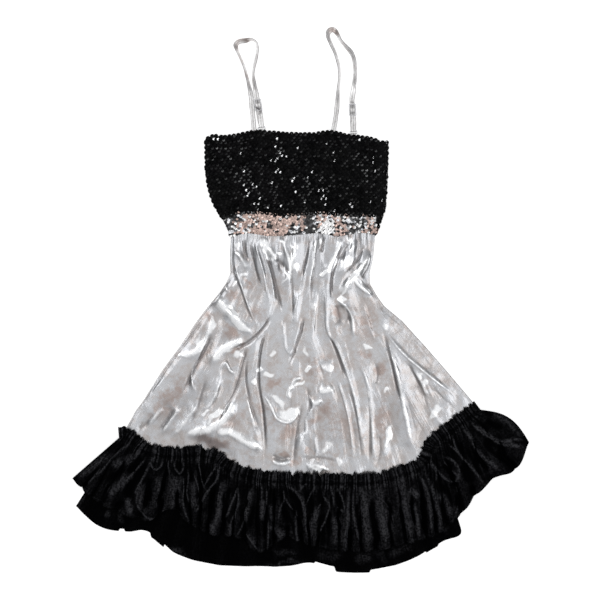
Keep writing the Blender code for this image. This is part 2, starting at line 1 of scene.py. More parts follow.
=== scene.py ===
"""The looks of a sequin mini dress laid flat on its back: cloth, sequins, straps and fittings.

Lengths in the tables and functions are in millimetres, with +X to the right of the laid dress, +Y
towards its straps and +Z up from the surface. MM turns them into metres where a mesh is made.
"""

import math

import bpy
import numpy as np
from bpy.props import FloatProperty, FloatVectorProperty, PointerProperty
from mathutils import Euler, Matrix, Vector
from mathutils.bvhtree import BVHTree


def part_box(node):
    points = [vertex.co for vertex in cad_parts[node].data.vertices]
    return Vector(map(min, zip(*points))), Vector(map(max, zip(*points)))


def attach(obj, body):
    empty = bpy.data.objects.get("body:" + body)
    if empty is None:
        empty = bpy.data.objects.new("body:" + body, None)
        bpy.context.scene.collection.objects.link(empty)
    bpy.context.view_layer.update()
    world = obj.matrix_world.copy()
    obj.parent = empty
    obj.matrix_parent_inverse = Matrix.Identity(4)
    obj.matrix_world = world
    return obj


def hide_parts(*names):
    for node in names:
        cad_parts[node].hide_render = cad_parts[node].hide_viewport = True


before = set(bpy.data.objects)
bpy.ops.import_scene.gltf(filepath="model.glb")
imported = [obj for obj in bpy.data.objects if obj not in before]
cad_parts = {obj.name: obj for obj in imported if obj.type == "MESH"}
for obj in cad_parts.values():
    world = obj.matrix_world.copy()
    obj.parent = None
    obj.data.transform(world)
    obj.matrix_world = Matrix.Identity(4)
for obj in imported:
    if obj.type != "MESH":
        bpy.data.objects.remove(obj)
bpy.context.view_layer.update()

bl_info = {
    "name": "Sequin Mini Dress",
    "version": (1, 0, 0),
    "blender": (4, 5, 0),
    "location": "3D View > Sidebar > Dress",
    "description": "Builds the cloth, sequins, straps and studio of a sequin mini dress laid flat",
    "category": "Add Mesh",
}

MM = 0.001

# The camera looks straight down, and its square picture takes in this width of the surface
PICTURE_WIDTH = 900
LENS = 85
SENSOR = 36
CAMERA_REACH = 50

# Directions, and the rounds in which a panel's places settle between its edges and its sides
UP = np.array([0, 0, 1])
SETTLING_ROUNDS = 4

# Width and length of what shows of each cloth piece before it is sewn
SKIRT_HEM = 640
SKIRT_LENGTH = 370
FLAT_SIZES = {
    "bodice_front": (256, 116),
    "bodice_back": (290, 120),
    "band_front": (236, 30),
    "band_back": (222, 27),
    "skirt_front": (SKIRT_HEM, SKIRT_LENGTH),
    "skirt_back": (SKIRT_HEM, SKIRT_LENGTH),
    "ruffle_front": (1000, 130),
    "ruffle_back": (850, 145),
}

# Gaps and walls of the solids, which the cloth keeps to
SEAM = 0.3
SILVER_CLOTH = 1.0
RUFFLE_CLOTH = 1.0
SEQUIN_CLOTH = 2.0
SKIRT_LIFT = 2.0
FRONT_INSET = 1.0
FRONT_RISE = 2.4
FRONT_HEM_FOLD = 1.5
BACK_FOLD = 1.5
BACK_FOLDS = 8
BACK_PLEATS = 20
RUFFLE_BACK_PLEAT = 2.0
RUFFLE_BACK_GATHER = 0.6
SIDE_SEAM_X = 115
BACK_SEAM = ((-118, 121), (118, 108))

# Where the top panels start and end, and how the front lies on the back and rises at its right side
BODICE_HALF = 120
BAND_HALF = 110
BODICE_TOP_ENDS = (-142, 132)
BAND_BOTTOM_ENDS = (-104, 113)
FRONT_FOLD_INSET = 0.4
BACK_TOP_DROP = 0.8
BACKING_LOWEST = 0.9
FRONT_LEFT_RISE = 28
FRONT_RIGHT_RISE = 30
SEAM_RISE = (55, 3)
FRONT_WAVES = (0.8, 0.6, 0.6)

# Waist and hem of the skirt, and the swell at the ruffle's right end
WAIST_LEFT = -103.5
WAIST_WIDTH = 216
SKIRT_HEM_START = 0.012
HEM_SWELL = 14
HEM_SWELL_WAY = (0.5, 0.85)

# How far the edges of spots wander, and how far over a solid, in metres, the search for its top starts
SPOT_WANDER = (3.0, 1.4)
RAY_START = 0.01

# The ruffle's gathered header, its share of the ruffle's rows, and the skirt's hem hidden below it
HEADER_DEEP = 15.0
HEADER_SHARE = 0.14
SKIRT_HEM_BELOW_HEADER = 20.0

# Straps and the bars they run round
STRAP_WIDTH = 7.5
STRAP_THICK = 1.0
STRAP_AT_FRONT = 4.6
BAR = 1.2
SLIDER_HEIGHT = 3.4
RING_PITCH = 4.4
TAB_ENDS = (2.9, 0.55)
TURN_RADIUS = (BAR + STRAP_THICK) / 2 + SEAM
BAR_HEIGHT = TURN_RADIUS + STRAP_THICK / 2

# Points down and across the cloth pieces
BODICE_GRID = (48, 150)
BAND_GRID = (16, 150)
SKIRT_GRID = (226, 421)
SKIRT_BACK_GRID = (100, 230)
RUFFLE_GRID = (90, 1045)
RUFFLE_BACK_GRID = (44, 640)

# Shape and rows of the sequins, their heights over the cloth, and the light they catch
SEQUIN_SIDES = 12
UNDER_SEQUINS = 0.72
LYING_HEIGHT = 2
BODICE_SEQUIN_LIFT = 0.55
BAND_SEQUIN_LIFT = 0.45
BACK_SEQUIN_DROP = 0.25
ROW_STARTS = (0.72, 0.28)
SEQUIN_DRIFT = 0.25
SEQUIN_SCATTER = 0.15
FACE_DOWN = (math.pi - 0.02, 0.0, 0.0)
CRESCENT_CENTRE = (0.12, -0.3, 0.0)
CRESCENT_BITE = (-0.05, 0.1, 0.0)
LAMP_PLACE = (-0.9, 0.7, 1.5)

# Shares of the back's width that lie flat and that turn up and over at the right
BACK_FLAT_SHARE = 20 / 30
BACK_TURN_SHARE = 26 / 30

# Fineness of the creases, dents and tapes, and rows of points in the ruffle's header
CREASE_STEPS = 24
DENT_WAVES = 14
TAPE_STEP = 1.1
TAPE_SIDES = 20
TURN_STEPS = 13
HEADER_ROWS = 14

# Length of the ruffle's header, and its fall from there to the hem
HEADER_LENGTH = 640.0
RUFFLE_FALL = 110.0

# How the skirt flares, how its creases swell the cloth round them, and heights of its folds and layers
BROAD_FLANK = 2.4
MOST_SWELL = 3.4
SKIRT_FRONT_LOWEST = 2.2
FLARE_START = 0.19
FLARE_SOFTNESS = 0.028
WAIST_GATHER = 0.35
DRAWN_FOLD = 1.4
FINE_RIPPLE = 0.18
DENT_STRETCH = 0.65
SKIRT_EDGE_LOWEST = 1.2
FLOOR_SOFTNESS = 0.4
SKIRT_BACK_THICK = 0.5
SKIRT_BACK_HIGHEST = 3.1

# Heights of the ruffle's tufts, folds and creases, and how far down its hem its roll lies
TUFT_TALL = 3.6
TUFT_HIGH = 2.3
RAGGED_EDGE = 1.8
FOLD_SPREAD = 3.0
STITCHED_DIP = 0.8
RUFFLE_RIPPLE = 0.6
STROKE_RISE = 1.3
STROKE_DIP = 0.9
HEM_ROLL_AT = 3.2
HEM_ROLL_WIDE = 1.1

# How far each row under a turned hem goes back from it, and how far it drops
SKIRT_TURN = ((0.2, 1.5, 4), (0.6, 1.0, 1.0))
RUFFLE_TURN = ((0.2, 1.2, 3.5), (0.5, 0.9, 0.9))

# Stitches: thread in metres, gap against stitch, height over the cloth, and points left free at its ends
THREAD = 0.0005
STITCH_GAP_SHARE = 0.35
STITCH_LIFT = 0.15
UNSEWN_POINTS = 6

# Wrinkles of the cloths, so many a metre across and down them
SOFT_FOLDS = (62.0, 10.0)
LONG_WRINKLES = (210.0, 26.0)
FINE_WRINKLES = (620.0, 160.0)
CREPE_RIBS = (170.0, 900.0)
SATIN_STREAKS = (330.0, 30.0)
SHIRRING = (500.0, 240.0)
TAPE_CREASES = (700.0, 240.0)

# Patches and dents of the finishes in metres, and how fine the grain of some is
SILVER_CLOUD = 0.034
SILVER_FLECK = 0.008
SILVER_DENT = 0.026
SMALL_DENT = 0.009
CREPE_SIZE = 0.0028
SCUFF_SIZE = 0.002
TAPE_WEAR = 0.016
TARNISH_SIZE = 0.003
SILVER_GRAIN = 900.0
WIRE_SCRATCHES = 2600.0
THREAD_TWIST = 1800.0
PAPER_GRAIN = 400.0

# Colours of what lies under the sequins and of the thread
SCUFFED_SEQUIN = (0.003, 0.003, 0.0035)
BLACK_BACKING = (0.004, 0.004, 0.004)
BAND_BACKING = (0.05, 0.04, 0.038)
BLACK_THREAD = (0.0015, 0.0015, 0.002)

# The stage: its floor, its glow from above and from the sides, and its lamps
FLOOR_HALF = 4.0
FLOOR_GLOW = 0.55
TOP_GLOW = 0.95
SIDE_GLOW = 0.16
SEEN_GLOW = 0.9
GLOW_FALL = 1.9
LAMPS = (
    # name, place, width, watts
    ("key", LAMP_PLACE, 1.0, 4.5),
    ("fill", (1.4, -0.2, 1.8), 1.4, 7.0),
)


def table(columns, *rows):
    """A short table as one array for each named column."""
    return dict(zip(columns.split(), np.array(rows, float).T))


# Upper edge of the bodice from its left corner to its right one
BODICE_TOP = table(
    "x y",
    (-142.5, 240.5), (-132, 245), (-111, 244.5), (-94, 247), (-66, 253), (-48, 251.5), (-16, 249),
    (16, 248.5), (49, 251.5), (68, 247), (90, 244), (108, 241.5), (118, 238), (132, 237.5),
)

# Seam between bodice and waistband, and the waistband's lower edge
BAND_TOP = table(
    "x y",
    (-118, 122), (-96, 130), (-72, 131.5), (-16, 128), (24, 131), (80, 127), (126, 127.5),
)
BAND_BOTTOM = table(
    "x y",
    (-104, 94), (-80, 100), (-48, 96), (0, 98.5), (25, 100.5), (58, 96), (90, 101), (113, 98),
)

# Sides of bodice and waistband, and the radius of the back's roll at its right side
SIDES = table(
    "y left right radius",
    (246, -142.5, 132.8, 3.7), (213, -142, 132, 3.7), (184, -140.5, 130.5, 3.7), (165, -137.5, 130, 3.7),
    (142, -129, 128.2, 3.6), (134, -124.5, 127, 3.5), (125, -119, 124, 3.0), (117, -114, 120.5, 2.6),
    (108, -109.5, 118, 2.4), (92, -103.5, 114.5, 2.4),
)

# Sides of the skirt from the waist to below the ruffle's header
SKIRT_SIDES = table(
    "y left right",
    (98, -103.5, 112.8), (63, -105, 109.5), (40, -104, 104), (25, -111, 104.5), (8, -123, 114),
    (-9, -137, 126), (-31, -154, 152.5), (-70, -180, 188), (-105, -206, 218.5), (-150, -234, 256.5),
    (-166, -246, 266), (-210, -270, 300),
)

# Upper edge of the ruffle's header, then the hems of its front and back halves
HEADER = table(
    "x y",
    (-272, -191), (-261, -190.5), (-240, -202.5), (-225, -215), (-210, -218), (-186, -220),
    (-148.5, -218), (-123, -225), (-100.5, -241.5), (-61.5, -254), (-12, -258), (52.5, -259.5),
    (112.5, -258), (150, -247.5), (177, -236), (186, -213), (223.5, -180), (261, -152),
)
FRONT_HEM = table(
    "x y",
    (-341, -267), (-319, -288), (-262, -320), (-225, -328), (-195, -311), (-165, -334), (-128, -350),
    (-94, -354), (-61, -376), (-24, -356), (22, -367), (78, -375), (134, -369), (172, -360), (200, -351),
    (232, -327), (264, -290), (297, -261), (317, -257), (343, -213),
)
BACK_HEM = table(
    "x y",
    (-336, -309), (-303, -338), (-255, -347), (-238, -345), (-182, -382), (-123, -397), (-66, -399),
    (-20, -399), (16, -394), (48, -402), (106, -404), (159, -392), (216, -361), (241, -350), (236, -321),
    (270, -286), (308, -250),
)

# Crests of the front ruffle's folds: place across at the header and at the hem, and height
RUFFLE_FOLDS = table(
    "top hem height",
    (-268, -335, 6), (-260, -318, 8), (-250, -305, 6), (-231, -292, 9), (-220, -259, 8), (-207, -224, 11),
    (-186, -198, 10), (-174, -168, 7), (-160, -158, 8), (-124, -146, 9), (-110, -129, 11), (-94, -106, 7),
    (-82, -96, 9), (-66, -70, 8), (-54, -58, 8), (-44, -46, 7), (-32, -32, 10), (-22, -4, 8),
    (-12, 10, 8), (30, 20, 10), (42, 32, 6), (54, 50, 9), (72, 65, 8), (82, 84, 7), (93, 100, 11),
    (114, 127, 11), (132, 150, 7), (148, 166, 10), (164, 181, 7), (175, 197, 9), (182, 210, 9),
    (196, 230, 8), (211, 249, 11), (228, 275, 9), (241, 299, 10), (252, 335, 9),
)

# Each strap from the front of the bodice over the shoulder to its slider: place and tilt in degrees
LEFT_STRAP = table(
    "x y tilt",
    (-68.7, 253.6, 0), (-71.2, 282, 0), (-73.6, 307, 20), (-79.2, 333, 55), (-83.3, 349, 60),
    (-90.2, 365, 60), (-95.2, 376.5, 45), (-96.3, 382, 20), (-92, 387, 10), (-82, 388.5, 35),
    (-72, 390, 70), (-65.8, 386.5, 75), (-63.6, 379, 60), (-64.8, 366, 50), (-68.2, 351, 55),
    (-70.2, 337, 60), (-68, 322, 35),
)
RIGHT_STRAP = table(
    "x y tilt",
    (50, 252.7, 0), (54.6, 282, 15), (57.3, 316, 50), (59.2, 339, 60), (58, 351, 55), (52.8, 369.5, 45),
    (46, 384.5, 40), (42.2, 394, 35), (42.2, 400.5, 30), (45.8, 404.8, 10), (51, 404.8, 10),
    (55, 400, 40), (60.9, 389, 60), (69, 379.5, 50), (77, 370.5, 40), (81, 360, 45), (82.2, 349, 50),
    (82.2, 334, 45), (80.4, 317, 20),
)
# Slider, then the ring at the back edge of the bodice
FITTINGS = {
    "left": {"slider": (-62.8, 292.0), "ring": (-57.6, 259.2)},
    "right": {"slider": (78.6, 284.8), "ring": (80.1, 253.2)},
}

# Side view of the strap from slider to ring and back: distance down the strap, height, sideways
STRAP_WEAVE = table(
    "down height side",
    (-16, 0.8, 0), (-12, 1.3, 0), (-8.2, 1.9, 0), (-6.4, 2.5, 0), (-4.6, 3.9, 0), (-3.0, 5.3, 0),
    (-1.4, 6.1, 0), (0, 6.3, 0), (1.4, 6.1, 0), (3.0, 5.3, 0), (4.6, 3.9, 0), (6.4, 2.5, 0.2),
    (8.2, 2.0, 0.5), (12, 2.0, 1.0),
)
# The strap's two runs near the ring: distance before it, height, sideways
RING_UPPER = table("before height side", (12, 2.1, 0.8), (6, 2.9, 0.2))
RING_LOWER = table("before height side", (6, 0.6, -0.2), (12, 0.55, -0.8))
LOOP_END = table(
    "down height side",
    (12, 0.55, -0.8), (6, 0.6, -0.3), (3.2, 0.9, 0), (1.5, 1.6, 0),
)

# Crests and troughs of the skirt's front: half width, height, lean, then the places they pass.
# A trough has a negative height. Lean makes one flank of a crease steeper than the other.
SKIRT_CREASES = (
    (5.5, 4.2, -0.4, (-125, 12), (-117, -6), (-100, -23), (-84, -38), (-70, -53)),
    (4.5, 3.2, 0.3, (-130, -26), (-138, -50), (-152, -74), (-178, -88)),
    (6, 4, 0.4, (-97, -146), (-110, -171), (-132, -189), (-158, -196), (-180, -210)),
    (6, 4.2, 0.4, (-129, -204), (-111, -198), (-93, -206), (-76, -216), (-57, -224)),
    (3.5, 3, 0, (-54, 96), (-50, 80), (-40, 68), (-32, 54)),
    (4, 3, 0.2, (-4, 96), (-9, 72), (-15, 44), (-21, 16)),
    (4, 3.2, 0.3, (60, 96), (55, 74), (46, 55), (33, 40)),
    (5, 4, 0.4, (107, 76), (98, 57), (80, 38), (64, 18), (53, 4)),
    (3.6, 3.2, 0.4, (76, 38), (87, 22), (100, 12), (113, 5)),
    (3, 2.8, 0.2, (-26, 96), (-24, 80), (-17, 62), (-14, 44)),
    (3.4, 3, 0.3, (84, 92), (76, 74), (66, 56), (58, 34)),
    (3.4, 2.6, 0.2, (24, 96), (22, 74), (18, 46), (12, 14)),
    (3, 2.6, 0.3, (-100, 74), (-91, 66), (-84, 56), (-80, 44)),
    (2.4, 3, -0.5, (53, 2), (68, -9), (77, -24), (80, -44), (80, -62)),
    (2.2, 2.4, 0.3, (84, -90), (96, -110), (103, -146), (107, -184), (110, -246)),
    (2.2, 2.2, 0.4, (38, 32), (39, -14), (42, -50), (54, -68), (66, -98), (78, -134), (88, -184),
     (94, -244)),
    (3.2, 3, 0.4, (128, -64), (138, -86), (148, -130), (158, -175), (168, -228)),
    (2.4, 2.6, 0.4, (126, -46), (152, -78), (188, -109), (238, -148)),
    (3, 2.2, 0.2, (-2, 16), (-5, -12), (-8, -40)),
    (3.4, 2.4, 0.3, (-150, -150), (-170, -178), (-196, -209)),
    (3, 2.2, 0.3, (-178, -156), (-194, -180), (-210, -202)),
    (3, 2, 0.3, (-204, -158), (-216, -172), (-230, -188)),
    (6, 3.4, 0.4, (-80, -57), (-97, -65), (-114, -73), (-126, -84), (-134, -100)),
    (3, -4, 0.5, (-42, -21), (-57, -44), (-77, -62), (-108, -77)),
    (4.5, -3.6, 0.3, (-129, -42), (-142, -73), (-157, -99), (-166, -118), (-176, -146)),
    (3, -3, -0.3, (-78, -66), (-84, -90), (-93, -122), (-105, -153)),
    (2, -3.6, 0.5, (-46, -30), (-56, -60), (-62, -92), (-62, -130), (-57, -160), (-53, -206), (-52, -246)),
    (2.8, -3.6, -0.5, (7, -22), (3, -44), (-4, -67), (-17, -101)),
    (2.2, -3.6, 0.5, (66, 84), (57, 66), (50, 48), (46, 22), (47, -4)),
    (4.5, -2.4, 0.2, (55, -6), (57, -22), (62, -38)),
    (2.2, -3, 0.3, (15, 96), (11, 74), (5, 50), (1, 34)),
    (2, -2.6, 0, (35, 96), (33, 82), (32, 70)),
    (2, -3, 0.3, (-55, 78), (-46, 56), (-38, 26), (-31, -6), (-27, -24)),
    (2.8, -3, 0.4, (43, -50), (56, -84), (68, -120)),
    (2.2, -2.2, 0.4, (68, -120), (80, -158), (90, -214), (93, -250)),
    (2.4, -3, 0.3, (124, -44), (132, -78), (141, -116), (150, -158)),
    (2, -2.2, 0.3, (98, -120), (104, -160), (104, -200), (104, -254)),
    (2, -2.4, 0.4, (-104, 60), (-98, 36), (-88, 12), (-80, -12), (-70, -38)),
    (1.6, 2, 0.2, (-98, 54), (-91, 30), (-83, 6), (-74, -18), (-62, -42)),
    (1.6, -2.4, 0.3, (-76, 92), (-71, 66), (-65, 39), (-57, 14)),
    (1.6, 2, 0.3, (-70, 92), (-62, 66), (-55, 42), (-50, 16), (-46, -6)),
    (1.5, -1.8, 0.2, (-10, 92), (-13, 62), (-12, 15), (-12, -33)),
    (1.7, -2.4, 0, (-36, 70), (-32, 57), (-30, 42)),
    (2, -2.6, 0.2, (97, 84), (88, 66), (76, 50), (66, 40)),
    (2, -2.4, 0.2, (106, 52), (98, 42), (92, 32)),
    (1.8, 2, 0.2, (-156, -142), (-162, -111), (-153, -90), (-143, -66)),
    (2.4, 2, -0.4, (-104, -88), (-116, -100), (-122, -126), (-131, -156)),
    (1.6, 2, 0.2, (-114, -90), (-106, -102), (-103, -110)),
    (1.8, -1.6, 0.2, (-139, -20), (-160, -49), (-194, -92), (-228, -146)),
    (1.8, 1.6, 0.2, (-146, -22), (-166, -50), (-201, -94), (-236, -146)),
    (2, 1.8, 0.3, (-26, -27), (-24, -54), (-20, -75), (-9, -86)),
    (2.4, 2, 0.3, (-81, -138), (-75, -165), (-67, -196), (-60, -214)),
    (2.6, 2.8, 0.5, (-55, -138), (-44, -159), (-32, -180), (-15, -183), (0, -166)),
    (2.6, -2.6, 0.4, (4, -150), (-3, -183), (-8, -218), (-10, -258)),
    (2.2, 2.4, -0.4, (6, -136), (20, -157), (10, -178), (9, -198), (3, -207), (2, -234)),
    (3, 3, 0.5, (6, -116), (-6, -118), (-14, -129), (-16, -144), (-9, -149)),
    (2.6, -2.8, -0.3, (-42, -232), (-28, -237), (-14, -233)),
    (2.6, 2.4, 0.3, (-44, -241), (-27, -246), (-10, -239)),
    (3, 2.6, 0, (8, -252), (24, -247), (38, -254)),
    (1.8, -1.4, 0.4, (0, -237), (38, -238), (63, -244)),
    (1.8, 1.6, 0.3, (93, 0), (102, -33), (112, -64)),
    (2.4, -2, 0.3, (112, -94), (116, -110), (114, -128)),
    (2.6, 2, -0.2, (186, -142), (201, -172), (219, -192)),
    (2.2, -1.6, 0.2, (171, -112), (184, -140), (196, -172)),
    (3, 2.2, 0.3, (132, -188), (129, -213), (126, -240)),
    (5.5, 2.8, 0.2, (27, -133), (39, -136), (52, -131)),
    (5.5, 2.6, 0.2, (30, -102), (40, -99), (50, -100)),
    (3.5, 2, 0.2, (16, -153), (27, -152), (33, -147)),
    (1.8, 2.2, 0.3, (-112, -90), (-105, -105), (-96, -112)),
    (2.6, 2.4, 0.4, (-118, -112), (-131, -150), (-146, -169)),
    (4, -2, 0.3, (-139, -112), (-150, -150), (-166, -192)),
    (3.4, -2.6, 0.4, (-86, -97), (-94, -127), (-112, -161), (-130, -186)),
    (2, -2.4, 0.4, (-78, -80), (-82, -105), (-76, -150), (-56, -206)),
    (3, -2, 0.2, (-188, -160), (-202, -182), (-214, -198)),
    (2.6, -1.8, 0.2, (-218, -168), (-232, -186), (-246, -198)),
    (2, 2, 0.3, (-110, 40), (-112, 22), (-106, 8)),
    (1.8, -2.2, 0.3, (-86, 92), (-83, 74), (-77, 56)),
    (1.5, 1.8, 0.3, (-62, 92), (-52, 62), (-44, 36), (-36, -14)),
    (2.4, -2.2, 0.3, (-38, 60), (-26, 52), (-16, 38)),
    (1.8, 2, 0.3, (-12, -26), (4, 20), (11, 60)),
    (2, -2.4, 0.3, (26, 92), (23, 60), (18, 30), (16, -6)),
    (1.6, 1.8, 0.2, (27, 20), (22, -20), (18, -60)),
    (2.2, -2.4, 0.3, (72, 86), (65, 70), (58, 60)),
    (3, -2.4, 0.3, (66, -6), (72, -20), (70, -36)),
    (2, 2, 0.3, (166, -100), (180, -122), (192, -150)),
    (2, -2, 0.3, (160, -92), (176, -124), (184, -152)),
    (2.2, -2, 0.2, (10, -128), (14, -160), (4, -190)),
    (1.8, 2, 0.3, (52, -110), (66, -150), (76, -200), (80, -250)),
    (1.8, -1.8, 0.3, (118, -200), (120, -226), (114, -250)),
    (2, 1.8, 0.2, (20, -200), (24, -226), (20, -250)),
    (1.4, -1.1, 0.3, (198, -132), (214, -147), (231, -163)),
    (1.6, 0.8, -0.2, (118, 0), (123, -24), (129, -49)),
    (1.5, 0.8, 0.2, (-240, -157), (-218, -134), (-195, -109), (-172, -78)),
    (1.6, 0.9, 0.2, (-56, -154), (-45, -163), (-38, -173), (-37, -186)),
    (1.5, 0.8, 0.2, (62, -45), (72, -90), (82, -135), (88, -190), (90, -235)),
    (1.6, 0.7, -0.2, (150, -30), (176, -66), (202, -104)),
    (1.3, -0.8, 0.2, (160, -150), (168, -178), (172, -200)),
    (1.4, 0.8, 0.2, (176, -96), (184, -112), (190, -128), (200, -150)),
    (1.4, -0.8, 0.2, (-12, -125), (-14, -160), (-12, -195), (-16, -235)),
    (1.4, 0.8, 0.2, (20, -120), (24, -150), (20, -185), (24, -215)),
)

# Places where the silver catches the light: x, y, half length, half width, turn in degrees, strength
SKIRT_GLEAMS = (
    (-60, 84, 6, 3, 80, 1), (-48, 73, 17, 4.5, -60, 1), (-26, 90, 4, 3, 90, 1),
    (-31, 70, 4, 2.5, -45, 0.9), (-13, 69, 16, 3, 88, 0.8), (-2, 51, 8, 4, 80, 0.9),
    (27, 82, 12, 4, 70, 0.8), (41, 42, 8, 4, 20, 1), (50, 52, 14, 3, 65, 0.8), (73, 58, 12, 4, 35, 0.9),
    (75, 86, 5, 4, 60, 0.8), (79, 31, 30, 3.5, 50, 0.9), (98, 21, 14, 2.5, -30, 0.8),
    (61, 2, 8, 3, -50, 0.9), (-23, 38, 12, 2.2, 88, 0.8), (-92, 80, 8, 5, 45, 0.6),
    (-81, 36, 6, 4, 0, 0.7), (-100, 27, 4, 3, 60, 0.9), (-96, -27, 32, 5, -47, 0.7),
    (-104, -66, 17, 4.5, 30, 0.7), (-41, -82, 5, 5, 30, 0.7), (-64, -107, 6, 3, -20, 0.9),
    (-49, -111, 7, 4, 20, 0.9), (-67, -124, 5, 4, 40, 0.9), (-3, -123, 8, 3, 15, 1),
    (-14, -135, 9, 3, 70, 1), (-15, -170, 13, 10, 0, 1), (-35, -152, 16, 5, -40, 0.8),
    (9, -76, 6, 4, 80, 0.6), (13, -101, 5, 3.5, -40, 1), (42, -101, 8, 4, 25, 0.8),
    (39, -133, 11, 3.5, 0, 1), (27, -151, 8, 2.5, 15, 0.9), (104, -69, 9, 3, 5, 1),
    (127, -133, 6, 3, 50, 0.8), (-73, -216, 18, 4, -38, 1), (28, -252, 13, 4, -15, 1),
    (-121, -170, 26, 4, 42, 0.8), (-93, -84, 9, 6, 0, 0.7), (39, -218, 12, 6, 70, 0.6),
    (61, -243, 6, 4, 90, 0.6), (134, -198, 15, 5, 70, 0.8), (202, -168, 14, 5, 80, 0.8),
    (176, -112, 7, 3, -60, 0.8), (186, -126, 6, 3, -60, 0.7), (130, -40, 12, 4, -50, 0.5),
    (18, -10, 6, 8, 0, 0.5), (-140, -168, 6, 3, 30, 0.8), (-152, -62, 12, 4, 60, 0.7),
    (-173, -84, 10, 4, 10, 0.8), (-131, -30, 5, 10, 0, 0.6),
)

# Rosy and brown patches of the silver cloth, the darkest of them painted shade in its hollows, in the same
# words
SKIRT_PATCHES = (
    (-100, 6, 14, 8, -50, 0.8), (-78, 21, 6, 6, 0, 0.7), (-63, -22, 16, 16, 0, 0.6),
    (-133, -25, 6, 7, 0, 0.8), (-104, -48, 12, 9, 30, 0.9), (-93, -73, 14, 4, 20, 1),
    (-105, -180, 20, 18, 0, 0.6), (-198, -150, 34, 13, 50, 0.7), (-168, -128, 14, 12, 50, 0.5),
    (-54, -159, 8, 8, 0, 0.8), (-39, -124, 9, 7, 0, 1), (56, -20, 11, 6, 80, 0.9),
    (100, -37, 20, 16, 90, 0.6), (97, -81, 13, 6, 0, 0.9), (121, -106, 9, 9, 0, 0.8),
    (123, -175, 26, 11, 85, 0.8), (41, -162, 13, 11, 30, 0.8), (-20, -201, 16, 12, 80, 0.8),
    (20, -181, 10, 8, 30, 0.9), (16, -228, 9, 6, 0, 0.9), (-25, -233, 10, 3, 0, 1),
    (-128, -213, 28, 8, -20, 1.2), (-110, -52, 8, 6, 0, 1), (-150, -90, 6, 20, -30, 0.7),
    (-7, -241, 8, 6, 0, 0.8), (30, -100, 26, 22, 80, 0.4), (60, -190, 40, 26, 80, 0.4),
    (-50, -170, 40, 24, 80, 0.3),
)

